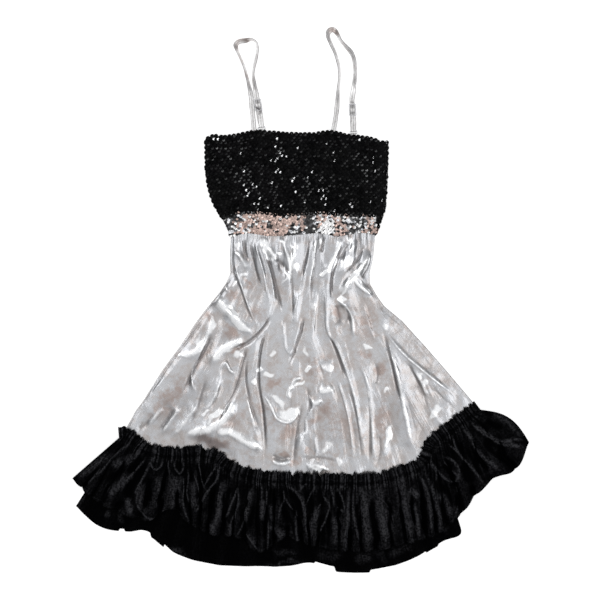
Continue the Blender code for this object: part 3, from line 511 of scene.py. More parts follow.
# Sheens and shadows of the ruffle's front: half width, light or (below 0) dark, then x, y along it
RUFFLE_STROKES = (
    (1.5, 0.8, (-253, -213), (-272, -227), (-289, -246), (-307, -266)),
    (1.5, 0.7, (-237, -224), (-249, -238), (-263, -248)),
    (1.6, 0.8, (-229, -235), (-255, -264), (-270, -278), (-283, -285)),
    (1.5, 0.9, (-222, -238), (-234, -264), (-243, -281), (-248, -293)),
    (1.3, 0.8, (-221, -236), (-222, -248), (-216, -254), (-208, -249), (-204, -238)),
    (1.2, 0.6, (-197, -237), (-197, -249), (-195, -263)),
    (1.3, 0.8, (-188, -238), (-187, -251), (-180, -260), (-174, -251), (-174, -238)),
    (1.4, 0.9, (-175, -261), (-174, -281), (-175, -300), (-171, -319), (-165, -334)),
    (1.2, 0.7, (-168, -251), (-167, -266), (-169, -289), (-164, -308)),
    (1.2, 0.7, (-159, -259), (-154, -274), (-151, -293), (-156, -309), (-160, -323)),
    (1.3, 0.8, (-153, -238), (-149, -259), (-146, -274), (-141, -285)),
    (1.5, 1, (-111, -249), (-120, -251), (-124, -266), (-139, -287), (-159, -323)),
    (1.3, 0.8, (-122, -244), (-135, -263), (-145, -281)),
    (1.3, 0.7, (-117, -266), (-121, -285), (-126, -326), (-137, -345)),
    (1.4, 0.9, (-92, -276), (-101, -300), (-111, -323), (-120, -334)),
    (1.8, 0.8, (-90, -293), (-96, -315), (-103, -338), (-99, -351)),
    (1.4, 0.8, (-240, -281), (-244, -300), (-236, -317), (-223, -327), (-210, -323), (-199, -298)),
    (1.6, 0.7, (-319, -276), (-309, -266), (-296, -249)),
    (5, 0.6, (-336, -268), (-308, -249), (-280, -226)),
    (5, 0.65, (-284, -249), (-264, -242), (-244, -229)),
    (6, 0.6, (-288, -294), (-270, -278), (-250, -258)),
    (6, 0.5, (-236, -268), (-238, -300), (-227, -322)),
    (6, 0.4, (-213, -258), (-210, -289), (-218, -312)),
    (9, 0.65, (-185, -258), (-187, -285), (-189, -316)),
    (4.5, 0.65, (-162, -268), (-159, -293), (-160, -314)),
    (4.5, 0.6, (-111, -262), (-118, -293), (-122, -319), (-134, -346)),
    (4, 0.9, (-259, -294), (-256, -307), (-254, -322)),
    (4, 0.8, (-132, -332), (-131, -352)),
    (3.5, 0.8, (-104, -332), (-103, -354)),
    (1.4, 0.8, (-94, -276), (-92, -294), (-96, -317), (-101, -339)),
    (1.4, 0.8, (-66, -274), (-77, -291), (-81, -311), (-85, -334), (-98, -356)),
    (4, 0.6, (-71, -280), (-79, -308), (-84, -334)),
    (1.4, 0.8, (-85, -345), (-73, -360), (-60, -377)),
    (4, 0.4, (-84, -345), (-64, -368)),
    (1.3, 0.7, (-57, -274), (-58, -308), (-61, -332)),
    (1.3, 0.8, (-50, -279), (-51, -308), (-57, -330)),
    (4, 0.7, (-56, -296), (-57, -332)),
    (1.3, 0.7, (-47, -326), (-48, -353), (-48, -379)),
    (5, 0.75, (-47, -334), (-30, -349), (-8, -346)),
    (1.4, 0.8, (-26, -281), (-24, -296), (-30, -313), (-34, -334)),
    (1.3, 0.7, (-24, -294), (-15, -308), (-6, -318)),
    (5, 0.45, (-44, -304), (-39, -334)),
    (2.4, 0.9, (-24, -276), (-6, -287), (4, -304), (8, -330), (13, -368)),
    (1.8, 0.8, (-6, -312), (-6, -341), (-4, -368)),
    (1.2, 0.8, (12, -272), (0, -283), (-3, -290)),
    (1.2, 0.8, (26, -276), (15, -291), (8, -310)),
    (1.5, 0.9, (36, -276), (36, -296), (43, -304), (37, -330), (23, -355)),
    (1.2, 0.7, (33, -302), (19, -319), (10, -322)),
    (5, 0.65, (28, -306), (19, -334), (18, -366)),
    (1.4, 0.8, (45, -276), (49, -294), (51, -311)),
    (1.3, 0.8, (54, -279), (62, -294), (65, -315), (51, -307)),
    (7, 0.6, (52, -320), (54, -345), (52, -370)),
    (2.8, 0.8, (73, -277), (72, -311), (69, -345), (66, -378)),
    (2, 0.7, (80, -277), (78, -308), (83, -338), (90, -368)),
    (9, 0.6, (91, -274), (96, -317), (100, -372)),
    (9, 0.6, (113, -274), (122, -317), (128, -368)),
    (1.4, 0.8, (109, -276), (118, -294), (131, -308), (142, -342)),
    (8, 0.6, (143, -254), (152, -293), (161, -330), (168, -362)),
    (5, 0.7, (161, -282), (178, -296)),
    (2.6, 0.8, (169, -300), (174, -326), (178, -360)),
    (2.6, 0.8, (176, -257), (186, -278), (193, -304), (199, -353)),
    (2.8, 0.8, (186, -254), (195, -278), (201, -302), (208, -326), (206, -353)),
    (1.4, 0.7, (191, -243), (203, -257), (203, -274)),
    (1.7, 0.9, (189, -235), (204, -253), (218, -268), (231, -272), (238, -259), (231, -242), (205, -231)),
    (1.2, 0.8, (213, -239), (225, -253), (237, -265)),
    (1.5, 0.6, (231, -270), (236, -291), (236, -308), (228, -328)),
    (1.5, 0.9, (217, -213), (233, -225), (248, -242), (263, -259), (278, -280)),
    (1.4, 0.7, (227, -203), (234, -223), (252, -250)),
    (2.8, 0.9, (239, -186), (255, -206), (266, -227), (281, -242), (301, -255)),
    (2.6, 0.9, (251, -177), (266, -193), (285, -206), (304, -212), (324, -208), (341, -212)),
    (2.6, 0.9, (257, -185), (279, -199), (300, -216), (323, -218), (341, -222)),
    (7, 0.55, (282, -168), (308, -180), (326, -197), (338, -210)),
    (7, 0.4, (204, -288), (218, -308), (222, -326)),
    (5, 0.4, (266, -243), (290, -260)),
    (6, -0.8, (-245, -247), (-270, -261), (-292, -270)),
    (6, -0.9, (-230, -240), (-248, -272), (-266, -296)),
    (4, -0.8, (-227, -279), (-222, -304)),
    (5, -0.7, (-202, -264), (-204, -293), (-207, -312)),
    (3.5, -0.9, (-171, -264), (-173, -293), (-168, -314)),
    (4.5, -0.9, (-157, -242), (-146, -266), (-137, -282)),
    (6.5, -1, (-128, -272), (-135, -300), (-148, -324)),
    (3, -0.9, (-104, -276), (-111, -304), (-117, -332)),
    (6, -0.8, (-70, -304), (-76, -344)),
    (6, -0.6, (-43, -280), (-42, -308)),
    (8, -0.7, (-20, -302), (-21, -338)),
    (4.5, -1, (-24, -280), (-6, -300), (0, -325), (1, -366)),
    (5, -0.8, (11, -285), (16, -314)),
    (7, -0.7, (33, -314), (30, -338), (35, -371)),
    (3, -0.9, (55, -285), (57, -311)),
    (3.5, -0.9, (77, -340), (75, -371)),
    (3, -0.9, (84, -299), (88, -350)),
    (3, -0.8, (107, -290), (111, -368)),
    (3, -0.8, (131, -299), (142, -342)),
    (3, -0.8, (149, -306), (157, -353)),
    (6, -0.9, (183, -290), (188, -353)),
    (2.2, -0.8, (201, -313), (203, -350)),
    (4.5, -1, (212, -245), (229, -262)),
    (7, -0.8, (207, -274), (225, -296), (232, -315)),
    (6, -0.9, (241, -244), (252, -274)),
    (5, -1, (248, -219), (259, -240), (272, -266)),
    (10, -1, (272, -206), (289, -227), (310, -236)),
    (6, -0.9, (275, -179), (303, -195)),
)

# Soft sheens of the ruffle's back: x, y, half length, half width, turn, strength
RUFFLE_BACK_SHEENS = (
    (-328, -301, 12, 4, 50, 0.5), (-289, -321, 6, 5, 0, 0.5), (-270, -325, 8, 4, 60, 0.5),
    (-182, -379, 16, 4, -28, 0.8), (-24, -378, 16, 5, -10, 0.5), (-22, -394, 24, 3, 8, 0.7),
    (45, -383, 14, 8, 0, 0.4), (93, -385, 14, 8, 0, 0.5), (123, -384, 8, 8, 0, 0.4),
    (150, -375, 14, 7, 15, 0.45), (215, -345, 9, 7, 30, 0.4),
)

# Sequins of the bodice that face the lamp, each with a painted lit crescent
BODICE_GLINTS = (
    (-34, 242), (-34, 231), (-28, 221), (-34, 214), (-27, 214), (-20, 213), (-38, 208), (-44, 208),
    (-33, 198), (-32, 191), (-26, 190), (-39, 176), (-11, 176), (-87, 222), (-3, 230), (-8, 184),
    (12, 184), (22, 192), (51, 224), (51, 208), (41, 237), (90, 237), (110, 214), (111, 206), (110, 194),
    (-80, 171), (-71, 172), (-64, 170), (-82, 164), (-76, 163), (-80, 155), (-75, 155), (-59, 153),
    (-65, 145), (-59, 145), (-64, 138), (-46, 136), (-27, 140), (-3, 162), (28, 166), (37, 164),
    (35, 155), (33, 150), (40, 150), (40, 142), (7, 148), (76, 145), (80, 138), (52, 135), (106, 149),
    (-125, 242), (-120, 241), (-82, 195),
)
# Sequins of the rolled strip at the right that face the lamp, each with a painted lit crescent
ROLL_GLINTS = ((128, 234), (127, 213), (126, 192), (122, 183), (126, 158), (125, 150))

# Runs of the waistband by their tones: where they start and end across, then rosy, dark and white
BAND_RUNS = table(
    "x rosy dark white",
    (-118, 0.1, 0.75, 0.1), (-100, 0.1, 0.7, 0.12), (-94, 0.6, 0.25, 0.12), (-80, 0.9, 0.1, 0.1),
    (-60, 1.0, 0.08, 0.06), (-20, 1.0, 0.1, 0.06), (4, 0.9, 0.15, 0.05), (9, 0.2, 0.8, 0.05),
    (20, 0.1, 0.75, 0.15), (27, 0.5, 0.15, 0.2), (44, 0.6, 0.15, 0.2), (52, 0.9, 0.15, 0.1),
    (68, 0.8, 0.3, 0.08), (76, 0.1, 0.65, 0.2), (92, 0.1, 0.65, 0.2), (99, 0.8, 0.2, 0.15),
    (118, 0.8, 0.3, 0.2),
)

# Places on the waistband with tones of their own: x, y, radius, then rosy, dark and white. The white place
# at x 40 is a painted highlight.
BAND_SPOTS = (
    (40, 107, 10, 0.02, 0.02, 0.97), (57, 99, 6, 1, 0.1, 0), (80, 102, 3.5, 0, 1, 0),
    (-8, 102, 8, 0.2, 0.7, 0.1), (112, 104, 5, 1, 0.2, 0), (-80, 103, 5, 0.5, 0.1, 0.6),
    (-45, 112, 4, 0.1, 0.9, 0), (-11, 113, 3.5, 0.1, 0.9, 0), (-4, 104, 7, 0.3, 0.6, 0.1),
)
# Parts of the bodice where many sequins shimmer: x, y, half length, half width, turn, strength
BODICE_SHIMMER = (
    (-122, 220, 16, 22, 0, 1), (105, 210, 20, 32, 0, 1), (-85, 236, 34, 10, 0, 0.5),
    (-78, 178, 20, 30, 0, 0.7), (30, 168, 60, 18, 0, 0.6), (-30, 205, 10, 36, 0, 0.5),
)

# Broad shadows of the skirt: x, y, half length, half width, turn, strength
SKIRT_SHADOWS = (
    (150, -172, 48, 30, -65, 0.24), (-178, -152, 60, 24, 48, 0.26), (-120, -60, 22, 14, -45, 0.12),
    (45, -190, 40, 40, 0, 0.16), (-70, -120, 40, 20, 80, 0.12), (-130, -214, 30, 9, -20, 0.9),
    (-150, -40, 12, 40, -38, 0.15), (-75, -45, 16, 10, 0, 0.15), (0, 52, 118, 44, 0, 0.2),
    (-104, 30, 12, 30, 0, 0.15), (-110, -54, 10, 8, 0, 0.3),
)

# Rosy parts of the straps, where they turn over: x, y, half length, half width, turn, strength
STRAP_PATCHES = (
    (-83, 389, 12, 5, 0, 1), (-93, 378, 6, 10, 0, 0.6), (-84, 345, 26, 4, -66, 0.7),
    (50, 402, 9, 5, 0, 1), (70, 365, 14, 5, -50, 0.6), (62, 380, 9, 5, -55, 0.3),
)

# Painted shadows in the gaps of the straps beside their sliders: x, y, half length, half width, turn,
# strength
STRAP_SLIT_SHADOWS = (
    (-66, 287, 13, 1.3, -78, 1.6), (-61.5, 281, 6, 1.2, -75, 1.4), (76.6, 294, 4.5, 1, 8, 1.3),
    (74.3, 267, 6, 1, -85, 1),
)

# Places where the ruffle's header dips and shows the silver behind it: x, half width, depth
HEADER_NOTCHES = ((-139, 4, 7), (-84, 2.5, 4), (-10, 2.5, 4), (30, 2, 3), (-178, 3, 3), (118, 3, 3))
# Steps where the back ruffle's pleats hang lower or higher at the hem: x, half width, depth
BACK_HEM_STEPS = ((-214, 9, 6), (-267, 3, -4), (37, 14, -3), (79, 25, 4), (198, 8, 3))

# Waistband sequins that flash white: x, y
BAND_GLINTS = (
    (-82, 107), (-58, 112), (-64, 122), (-52, 103), (-39, 104), (-31, 107), (-2, 102), (107, 124),
    (115, 122), (34, 112), (40, 113), (46, 111), (31, 107), (37, 107), (43, 106), (49, 107), (36, 102),
    (42, 101), (47, 102),
)


def rising(low, high, value):
    """0 below low, 1 above high, and a smooth rise between."""
    share = np.clip((np.asarray(value, float) - low) / (high - low), 0, 1)
    return share * share * (3 - 2 * share)


def through(known, values, at):
    """A smooth line through the values at the known places, read at other places."""
    slopes = np.gradient(values, known)
    i = np.clip(np.searchsorted(known, at) - 1, 0, len(known) - 2)
    step = known[i + 1] - known[i]
    u = np.clip((at - known[i]) / step, 0, 1)
    h00 = 2 * u**3 - 3 * u**2 + 1
    h10 = u**3 - 2 * u**2 + u
    h11 = u**3 - u**2
    return h00 * values[i] + h10 * step * slopes[i] + (1 - h00) * values[i + 1] + h11 * step * slopes[i + 1]


def run_of(points):
    """Share of a table's length, from its first place to each of its x and y places."""
    steps = np.hypot(np.diff(points["x"]), np.diff(points["y"]))
    return np.concatenate([[0], np.cumsum(steps)]) / steps.sum()


def along(points, share):
    """Places at the given shares of the length of the smooth curve through a table's x and y."""
    places = run_of(points)
    return through(places, points["x"], share), through(places, points["y"], share)


def share_at(points, x):
    """Share of a curve's length at each x."""
    shares = np.linspace(0, 1, 201)
    return np.interp(x, along(points, shares)[0], shares)


def edge_at(edge, x):
    """Height along the dress of an edge, from its table of x and y."""
    return through(edge["x"], edge["y"], x)


def side(name, y):
    """A column of the SIDES table at the height y."""
    return through(SIDES["y"][::-1], SIDES[name][::-1], np.asarray(y, float))


def grid(rows, columns):
    """Shares down and across for every point of a grid, rows first."""
    return np.meshgrid(rows, columns, indexing="ij")


def blurred(values, rows, columns):
    """A grid of values with its fine detail smoothed away down and across."""
    for axis, spread in ((0, rows), (1, columns)):
        reach = int(3 * spread) + 1
        bell = np.exp(-0.5 * (np.arange(-reach, reach + 1) / spread) ** 2)
        edges = [(reach, reach) if a == axis else (0, 0) for a in (0, 1)]
        padded = np.pad(values, edges, mode="edge")
        values = np.apply_along_axis(np.convolve, axis, padded, bell / bell.sum(), "valid")
    return values


def shares_of(size):
    """Shares from 0 to 1 down and across, for every point of a grid of a size."""
    return grid(np.linspace(0, 1, size[0]), np.linspace(0, 1, size[1]))


def unit(arrows):
    """The same directions with a length of 1."""
    return arrows / np.linalg.norm(arrows, axis=-1, keepdims=True)


def run_along(line):
    """Distance along a line of points to each of them."""
    return np.concatenate([[0], np.cumsum(np.linalg.norm(np.diff(line, axis=0), axis=1))])


def between(at, known, points):
    """Points of a line read at other distances along it."""
    return np.stack([np.interp(at, known, points[:, k]) for k in range(3)], axis=-1)


def normals_of(surface):
    """Unit normals of a grid surface that runs down in rows and right in columns, pointing up."""
    return unit(np.cross(np.gradient(surface, axis=0), np.gradient(surface, axis=1)))


def solid_top(node, x, y):
    """Height of a solid's upper surface at each place, carried on past its edges."""
    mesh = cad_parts[node].data
    tree = BVHTree.FromPolygons([v.co for v in mesh.vertices], [p.vertices for p in mesh.polygons])
    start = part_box(node)[1].z + RAY_START
    down = Vector((0, 0, -1))
    heights = np.full(x.size, np.nan)
    for i, (px, py) in enumerate(zip(x.ravel() * MM, y.ravel() * MM)):
        hit = tree.ray_cast(Vector((px, py, start)), down)[0]
        if hit is not None:
            heights[i] = hit.z / MM
    heights = heights.reshape(x.shape)
    for row in heights:
        known = np.flatnonzero(~np.isnan(row))
        if len(known):
            row[:] = np.interp(np.arange(len(row)), known, row[known])
    for column in heights.T:
        known = np.flatnonzero(~np.isnan(column))
        column[:] = np.interp(np.arange(len(column)), known, column[known])
    return heights


def gather_wave(count, share, wander):
    """Rounded waves 0 to 1 across a gathered edge, unevenly spaced."""
    drift = np.sin(2 * np.pi * share * 3.7 + 1.1) + 0.5 * np.sin(2 * np.pi * share * 9.1)
    return 0.5 - 0.5 * np.cos(2 * np.pi * (count * share + wander * drift))


def edge_fade(share, start, end):
    """0 at the side edges of a panel and 1 inside it."""
    return rising(start, end, share) * rising(start, end, 1 - share)


def ripples(across, down, waves, seed):
    """Uneven ripples between about -1 and 1 that run down the cloth and wander as they go."""
    luck = np.random.default_rng(seed)
    total = np.zeros_like(across)
    for count in waves:
        turn, drift, phase = luck.uniform(0, 2 * np.pi, 3)
        wander = 0.25 * np.sin(2 * np.pi * (down * luck.uniform(0.6, 1.6)) + turn)
        swell = 0.6 + 0.4 * np.sin(2 * np.pi * (across * count / 5 + down * luck.uniform(1, 3)) + drift)
        total += swell * np.sin(2 * np.pi * (count * across + wander) + phase)
    return total / len(waves) ** 0.5


def soft_dents(x, y, size, seed):
    """Smooth dents of about one size, between about -1 and 1, a little longer down the dress."""
    luck = np.random.default_rng(seed)
    total = np.zeros_like(x)
    for _ in range(DENT_WAVES):
        turn, phase = luck.uniform(0, 2 * np.pi, 2)
        wave = 2 * np.pi / (size * luck.uniform(0.8, 1.8))
        total += np.sin(wave * (x * np.cos(turn) + DENT_STRETCH * y * np.sin(turn)) + phase)
    return total / DENT_WAVES**0.5


def crease_line(places):
    """A smooth line of points through a few places."""
    x, y = np.array(places, float).T
    steps = np.concatenate([[0], np.cumsum(np.hypot(np.diff(x), np.diff(y)))])
    at = np.linspace(0, steps[-1], CREASE_STEPS)
    return through(steps, x, at), through(steps, y, at)


def crease_profile(x, y, places, half, lean):
    """How close each place is to a crease: 1 on it, 0 away from it, fading at its ends."""
    line_x, line_y = crease_line(places)
    margin = 4 * half
    near = (x > line_x.min() - margin) & (x < line_x.max() + margin)
    near &= (y > line_y.min() - margin) & (y < line_y.max() + margin)
    px, py = x[near], y[near]
    best = np.full(px.shape, np.inf)
    flank = np.zeros(px.shape)
    place = np.zeros(px.shape)
    for i in range(CREASE_STEPS - 1):
        dx, dy = line_x[i + 1] - line_x[i], line_y[i + 1] - line_y[i]
        u = np.clip(((px - line_x[i]) * dx + (py - line_y[i]) * dy) / (dx * dx + dy * dy), 0, 1)
        ox, oy = px - line_x[i] - u * dx, py - line_y[i] - u * dy
        far = ox * ox + oy * oy
        nearer = far < best
        best = np.where(nearer, far, best)
        flank = np.where(nearer, np.sign(dx * oy - dy * ox), flank)
        place = np.where(nearer, (i + u) / (CREASE_STEPS - 1), place)
    width = half * (1 + lean * flank)
    result = np.zeros_like(x)
    result[near] = np.exp(-best / width**2) * rising(0, 0.2, place) * rising(1, 0.75, place)
    return result


def spots(x, y, rows):
    """Soft uneven spots from a table of places, sizes, turns and strengths."""
    broad, fine = SPOT_WANDER
    wide = x + broad * np.sin(y / 6.1 + x / 17) + fine * np.sin(y / 2.7 - x / 5)
    tall = y + broad * np.sin(x / 6.7 - y / 15) + fine * np.sin(x / 2.9 + y / 4)
    total = np.zeros_like(x)
    for px, py, half_long, half_wide, turn, strength in rows:
        a = np.radians(turn)
        u = ((wide - px) * np.cos(a) + (tall - py) * np.sin(a)) / half_long
        v = ((tall - py) * np.cos(a) - (wide - px) * np.sin(a)) / half_wide
        total = np.maximum(total, strength * rising(1.5, 0.4, np.sqrt(u * u + v * v)))
    return total


def grid_faces(rows, columns, start=0, turned=False):
    """Four-sided faces of a grid of points, facing up where its rows run down."""
    index = start + np.arange(rows * columns).reshape(rows, columns)
    corners = [index[:-1, :-1], index[1:, :-1], index[1:, 1:], index[:-1, 1:]]
    return np.stack(corners[::-1] if turned else corners, axis=-1).reshape(-1, 4)


def placed_object(name, data):
    """A new object in the scene."""
    made = bpy.data.objects.new(name, data)
    bpy.context.scene.collection.objects.link(made)
    return made


def mesh_piece(name, points, faces, uv, marks, material, node):
    """A piece in a node's place, from points in millimetres with a UV map and marks on each point.

    Each of its sets of faces has one row for each face and one column for each corner.
    """
    mesh = bpy.data.meshes.new(name)
    mesh.vertices.add(len(points))
    mesh.vertices.foreach_set("co", (np.asarray(points) * MM).astype(np.float32).ravel())
    corners = np.concatenate([f.ravel() for f in faces]).astype(np.int32)
    sides = np.concatenate([np.full(len(f), f.shape[1]) for f in faces])
    mesh.loops.add(len(corners))
    mesh.loops.foreach_set("vertex_index", corners)
    mesh.polygons.add(len(sides))
    mesh.polygons.foreach_set("loop_start", (np.cumsum(sides) - sides).astype(np.int32))
    mesh.update(calc_edges=True)
    mesh.validate()
    mesh.shade_smooth()
    layer = mesh.uv_layers.new(name="UVMap")
    layer.uv.foreach_set("vector", (np.asarray(uv) * MM).astype(np.float32)[corners].ravel())
    for mark_name, values in marks.items():
        attribute = mesh.attributes.new(mark_name, "FLOAT", "POINT")
        attribute.data.foreach_set("value", np.asarray(values, np.float32).ravel())
    mesh.materials.append(material)
    made = placed_object(name, mesh)
    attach(made, "root")
    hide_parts(node)
    return made


def turned_under(points, values, widths, drops):
    """Rows added below a sheet's hem, which turn under it."""
    fall = unit((points[-1] - points[-2]) * [1, 1, 0])
    rows = [points[-1] - fall * w - [0, 0, d] for w, d in zip(widths, drops)]
    points = np.concatenate([points, np.stack(rows)])
    values = {k: np.concatenate([v, np.tile(v[-1], (len(widths), 1))]) for k, v in values.items()}
    return points, values


def rim_faces(rows, columns):
    """Faces that join the rims of two grids of points, the second one numbered after the first."""
    count = rows * columns
    index = np.arange(count).reshape(rows, columns)
    rim = np.array([*index[0, :-1], *index[:-1, -1], *index[-1, :0:-1], *index[:0:-1, 0]])
    ahead = np.roll(rim, -1)
    return np.stack([rim, ahead, ahead + count, rim + count], axis=-1)


def flat_map(width, length, rows, columns):
    """UV places of a grid on the flat cloth it was cut from."""
    t, s = grid(np.linspace(0, length, rows), np.linspace(0, width, columns))
    return np.dstack([s, t]).reshape(-1, 2)


def seam_height(x):
    """Height along the dress of the seam between the back bodice and the back waistband."""
    return np.interp(x, *zip(*BACK_SEAM))


def front_height(x, y):
    """Height of the middle of the front's wall, from its left fold to its side seam."""
    lying = SEQUIN_CLOTH * 1.5 + SEAM
    at_seam = np.maximum(2 * side("radius", y) - SEQUIN_CLOTH / 2, lying)
    turns = x / 23 + 0.8, x / 13 - y / 31, y / 19 + x / 47
    waves = sum(height * np.sin(turn) for height, turn in zip(FRONT_WAVES, turns))
    from_left = rising(side("left", y), side("left", y) + FRONT_LEFT_RISE, x)
    from_right = rising(SIDE_SEAM_X, SIDE_SEAM_X - FRONT_RIGHT_RISE, x)
    start, end = SEAM_RISE
    rise = (at_seam - lying) * rising(SIDE_SEAM_X - start, SIDE_SEAM_X - end, x)
    return lying + FRONT_RISE * from_left * from_right * (1 + waves / FRONT_RISE) + rise


def cloth_piece(node, layers, marks, look):
    """Cloth in a node's place, cut to its flat size: an open layer, or two faces joined at the rim."""
    rows, columns = layers[0].shape[:2]
    faces = [grid_faces(rows, columns)]
    if len(layers) == 2:
        faces += [grid_faces(rows, columns, rows * columns, True), rim_faces(rows, columns)]
    points = np.concatenate([layer.reshape(-1, 3) for layer in layers])
    marks = {k: np.tile(np.ravel(v), len(layers)) for k, v in marks.items()}
    width, length = FLAT_SIZES[node]
    uv = np.tile(flat_map(width, length, rows, columns), (len(layers), 1))
    piece = mesh_piece(node + "_cloth", points, faces, uv, marks, look, node)


def front_panel(size, top, bottom):
    """Places of a front panel of the bodice or band between its upper and lower edges."""
    t, s = shares_of(size)
    x = BODICE_HALF * (2 * s - 1)
    for _ in range(SETTLING_ROUNDS):
        y = edge_at(top, x) * (1 - t) + edge_at(bottom, x) * t
        left, right = side("left", y) + FRONT_FOLD_INSET, SIDE_SEAM_X - SEAM
        x = left + (right - left) * s
    return np.dstack([x, y, front_height(x, y)])


def back_panel(size):
    """The middle of the bodice's back, which lies flat and rolls up over the front at the right."""
    half = SEQUIN_CLOTH / 2
    t, s = shares_of(size)
    flat, turn = BACK_FLAT_SHARE, BACK_TURN_SHARE
    x = BODICE_HALF * (2 * s - 1)
    for _ in range(SETTLING_ROUNDS):
        top = edge_at(BODICE_TOP, np.clip(x, *BODICE_TOP_ENDS)) - BACK_TOP_DROP
        y = top * (1 - t) + seam_height(x) * t
        radius, right, left = (side(name, y) for name in ("radius", "right", "left"))
        centre = right - radius
        angle = np.pi * np.clip((s - flat) / (turn - flat), 0, 1)
        lying = left + (centre - left) * np.clip(s / flat, 0, 1)
        over = np.maximum(centre - SIDE_SEAM_X, 0.2) * np.clip((s - turn) / (1 - turn), 0, 1)
        x = np.where(s <= flat, lying, centre + (radius - half) * np.sin(angle) - over)
    z = radius - (radius - half) * np.cos(angle)
    return np.dstack([x, y, z])


def band_back_panel(size):
    """The waistband's back, lying flat."""
    t, s = shares_of(size)
    x = BAND_HALF * (2 * s - 1)
    for _ in range(SETTLING_ROUNDS):
        y = (seam_height(x) - SEAM) * (1 - t) + edge_at(BAND_BOTTOM, x) * t
        left, right = side("left", y), side("right", y) - SEAM
        x = left + (right - left) * s
    return np.dstack([x, y, np.full_like(x, SEQUIN_CLOTH / 2)])


def below_header(share, deep):
    """Places at a depth below the upper edge of the ruffle's header."""
    x, y = along(HEADER, share)
    ahead, behind = along(HEADER, share + 0.01), along(HEADER, share - 0.01)
    run = np.stack([ahead[0] - behind[0], ahead[1] - behind[1]])
    run /= np.hypot(*run)
    return x + run[1] * deep, y - run[0] * deep


def ruffle_place(top, low, down, hem):
    """Places on the ruffle, from a share of its header's length to a share of its hem's."""
    stitch_x, stitch_y = below_header(top, HEADER_DEEP * np.clip(down / HEADER_SHARE, 0, 1))
    hem_x, hem_y = along(hem, low)
    fall = np.clip((down - HEADER_SHARE) / (1 - HEADER_SHARE), 0, 1)
    swell = HEM_SWELL * np.sin(np.pi * fall) * rising(0.93, 1.0, low)
    x = stitch_x + (hem_x - stitch_x) * fall + swell * HEM_SWELL_WAY[0]
    return x, stitch_y + (hem_y - stitch_y) * fall + swell * HEM_SWELL_WAY[1]


def skirt_place(share, down):
    """Places on the skirt, from waist to hem, with its sides on the outline."""
    along_hem = SKIRT_HEM_START + (1 - 2 * SKIRT_HEM_START) * share
    hem_x, hem_y = below_header(along_hem, SKIRT_HEM_BELOW_HEADER)
    waist_x = WAIST_LEFT + WAIST_WIDTH * share
    waist_y = edge_at(BAND_BOTTOM, np.clip(waist_x, *BAND_BOTTOM_ENDS)) - 2 * SEAM
    flare = np.logaddexp(0, (down - FLARE_START) / FLARE_SOFTNESS)
    flare /= np.logaddexp(0, (1 - FLARE_START) / FLARE_SOFTNESS)
    x = waist_x + (hem_x - waist_x) * flare
    y = waist_y + (hem_y - waist_y) * down
    across = (x - x[:, :1]) / (x[:, -1:] - x[:, :1])
    left = np.interp(-y[:, :1], -SKIRT_SIDES["y"], SKIRT_SIDES["left"])
    right = np.interp(-y[:, -1:], -SKIRT_SIDES["y"], SKIRT_SIDES["right"])
    return left + (right - left) * across, y


def fold_line(places):
    """Shares of the valleys and crests along an edge, from the crests' shares."""
    valleys = np.concatenate([[0], (places[1:] + places[:-1]) / 2, [1]])
    line = np.empty(2 * len(places) + 1)
    line[0::2], line[1::2] = valleys, places
    return line


def relief(heights, rows, columns):
    """How far each place stands above or below the cloth round it, in millimetres."""
    return heights - blurred(heights, rows, columns)


def spread_out(x):
    """How far each row of the skirt is spread from its gathers, from about a third to 1."""
    width = x[:, -1:] - x[:, :1]
    return width / width.max() + 0 * x


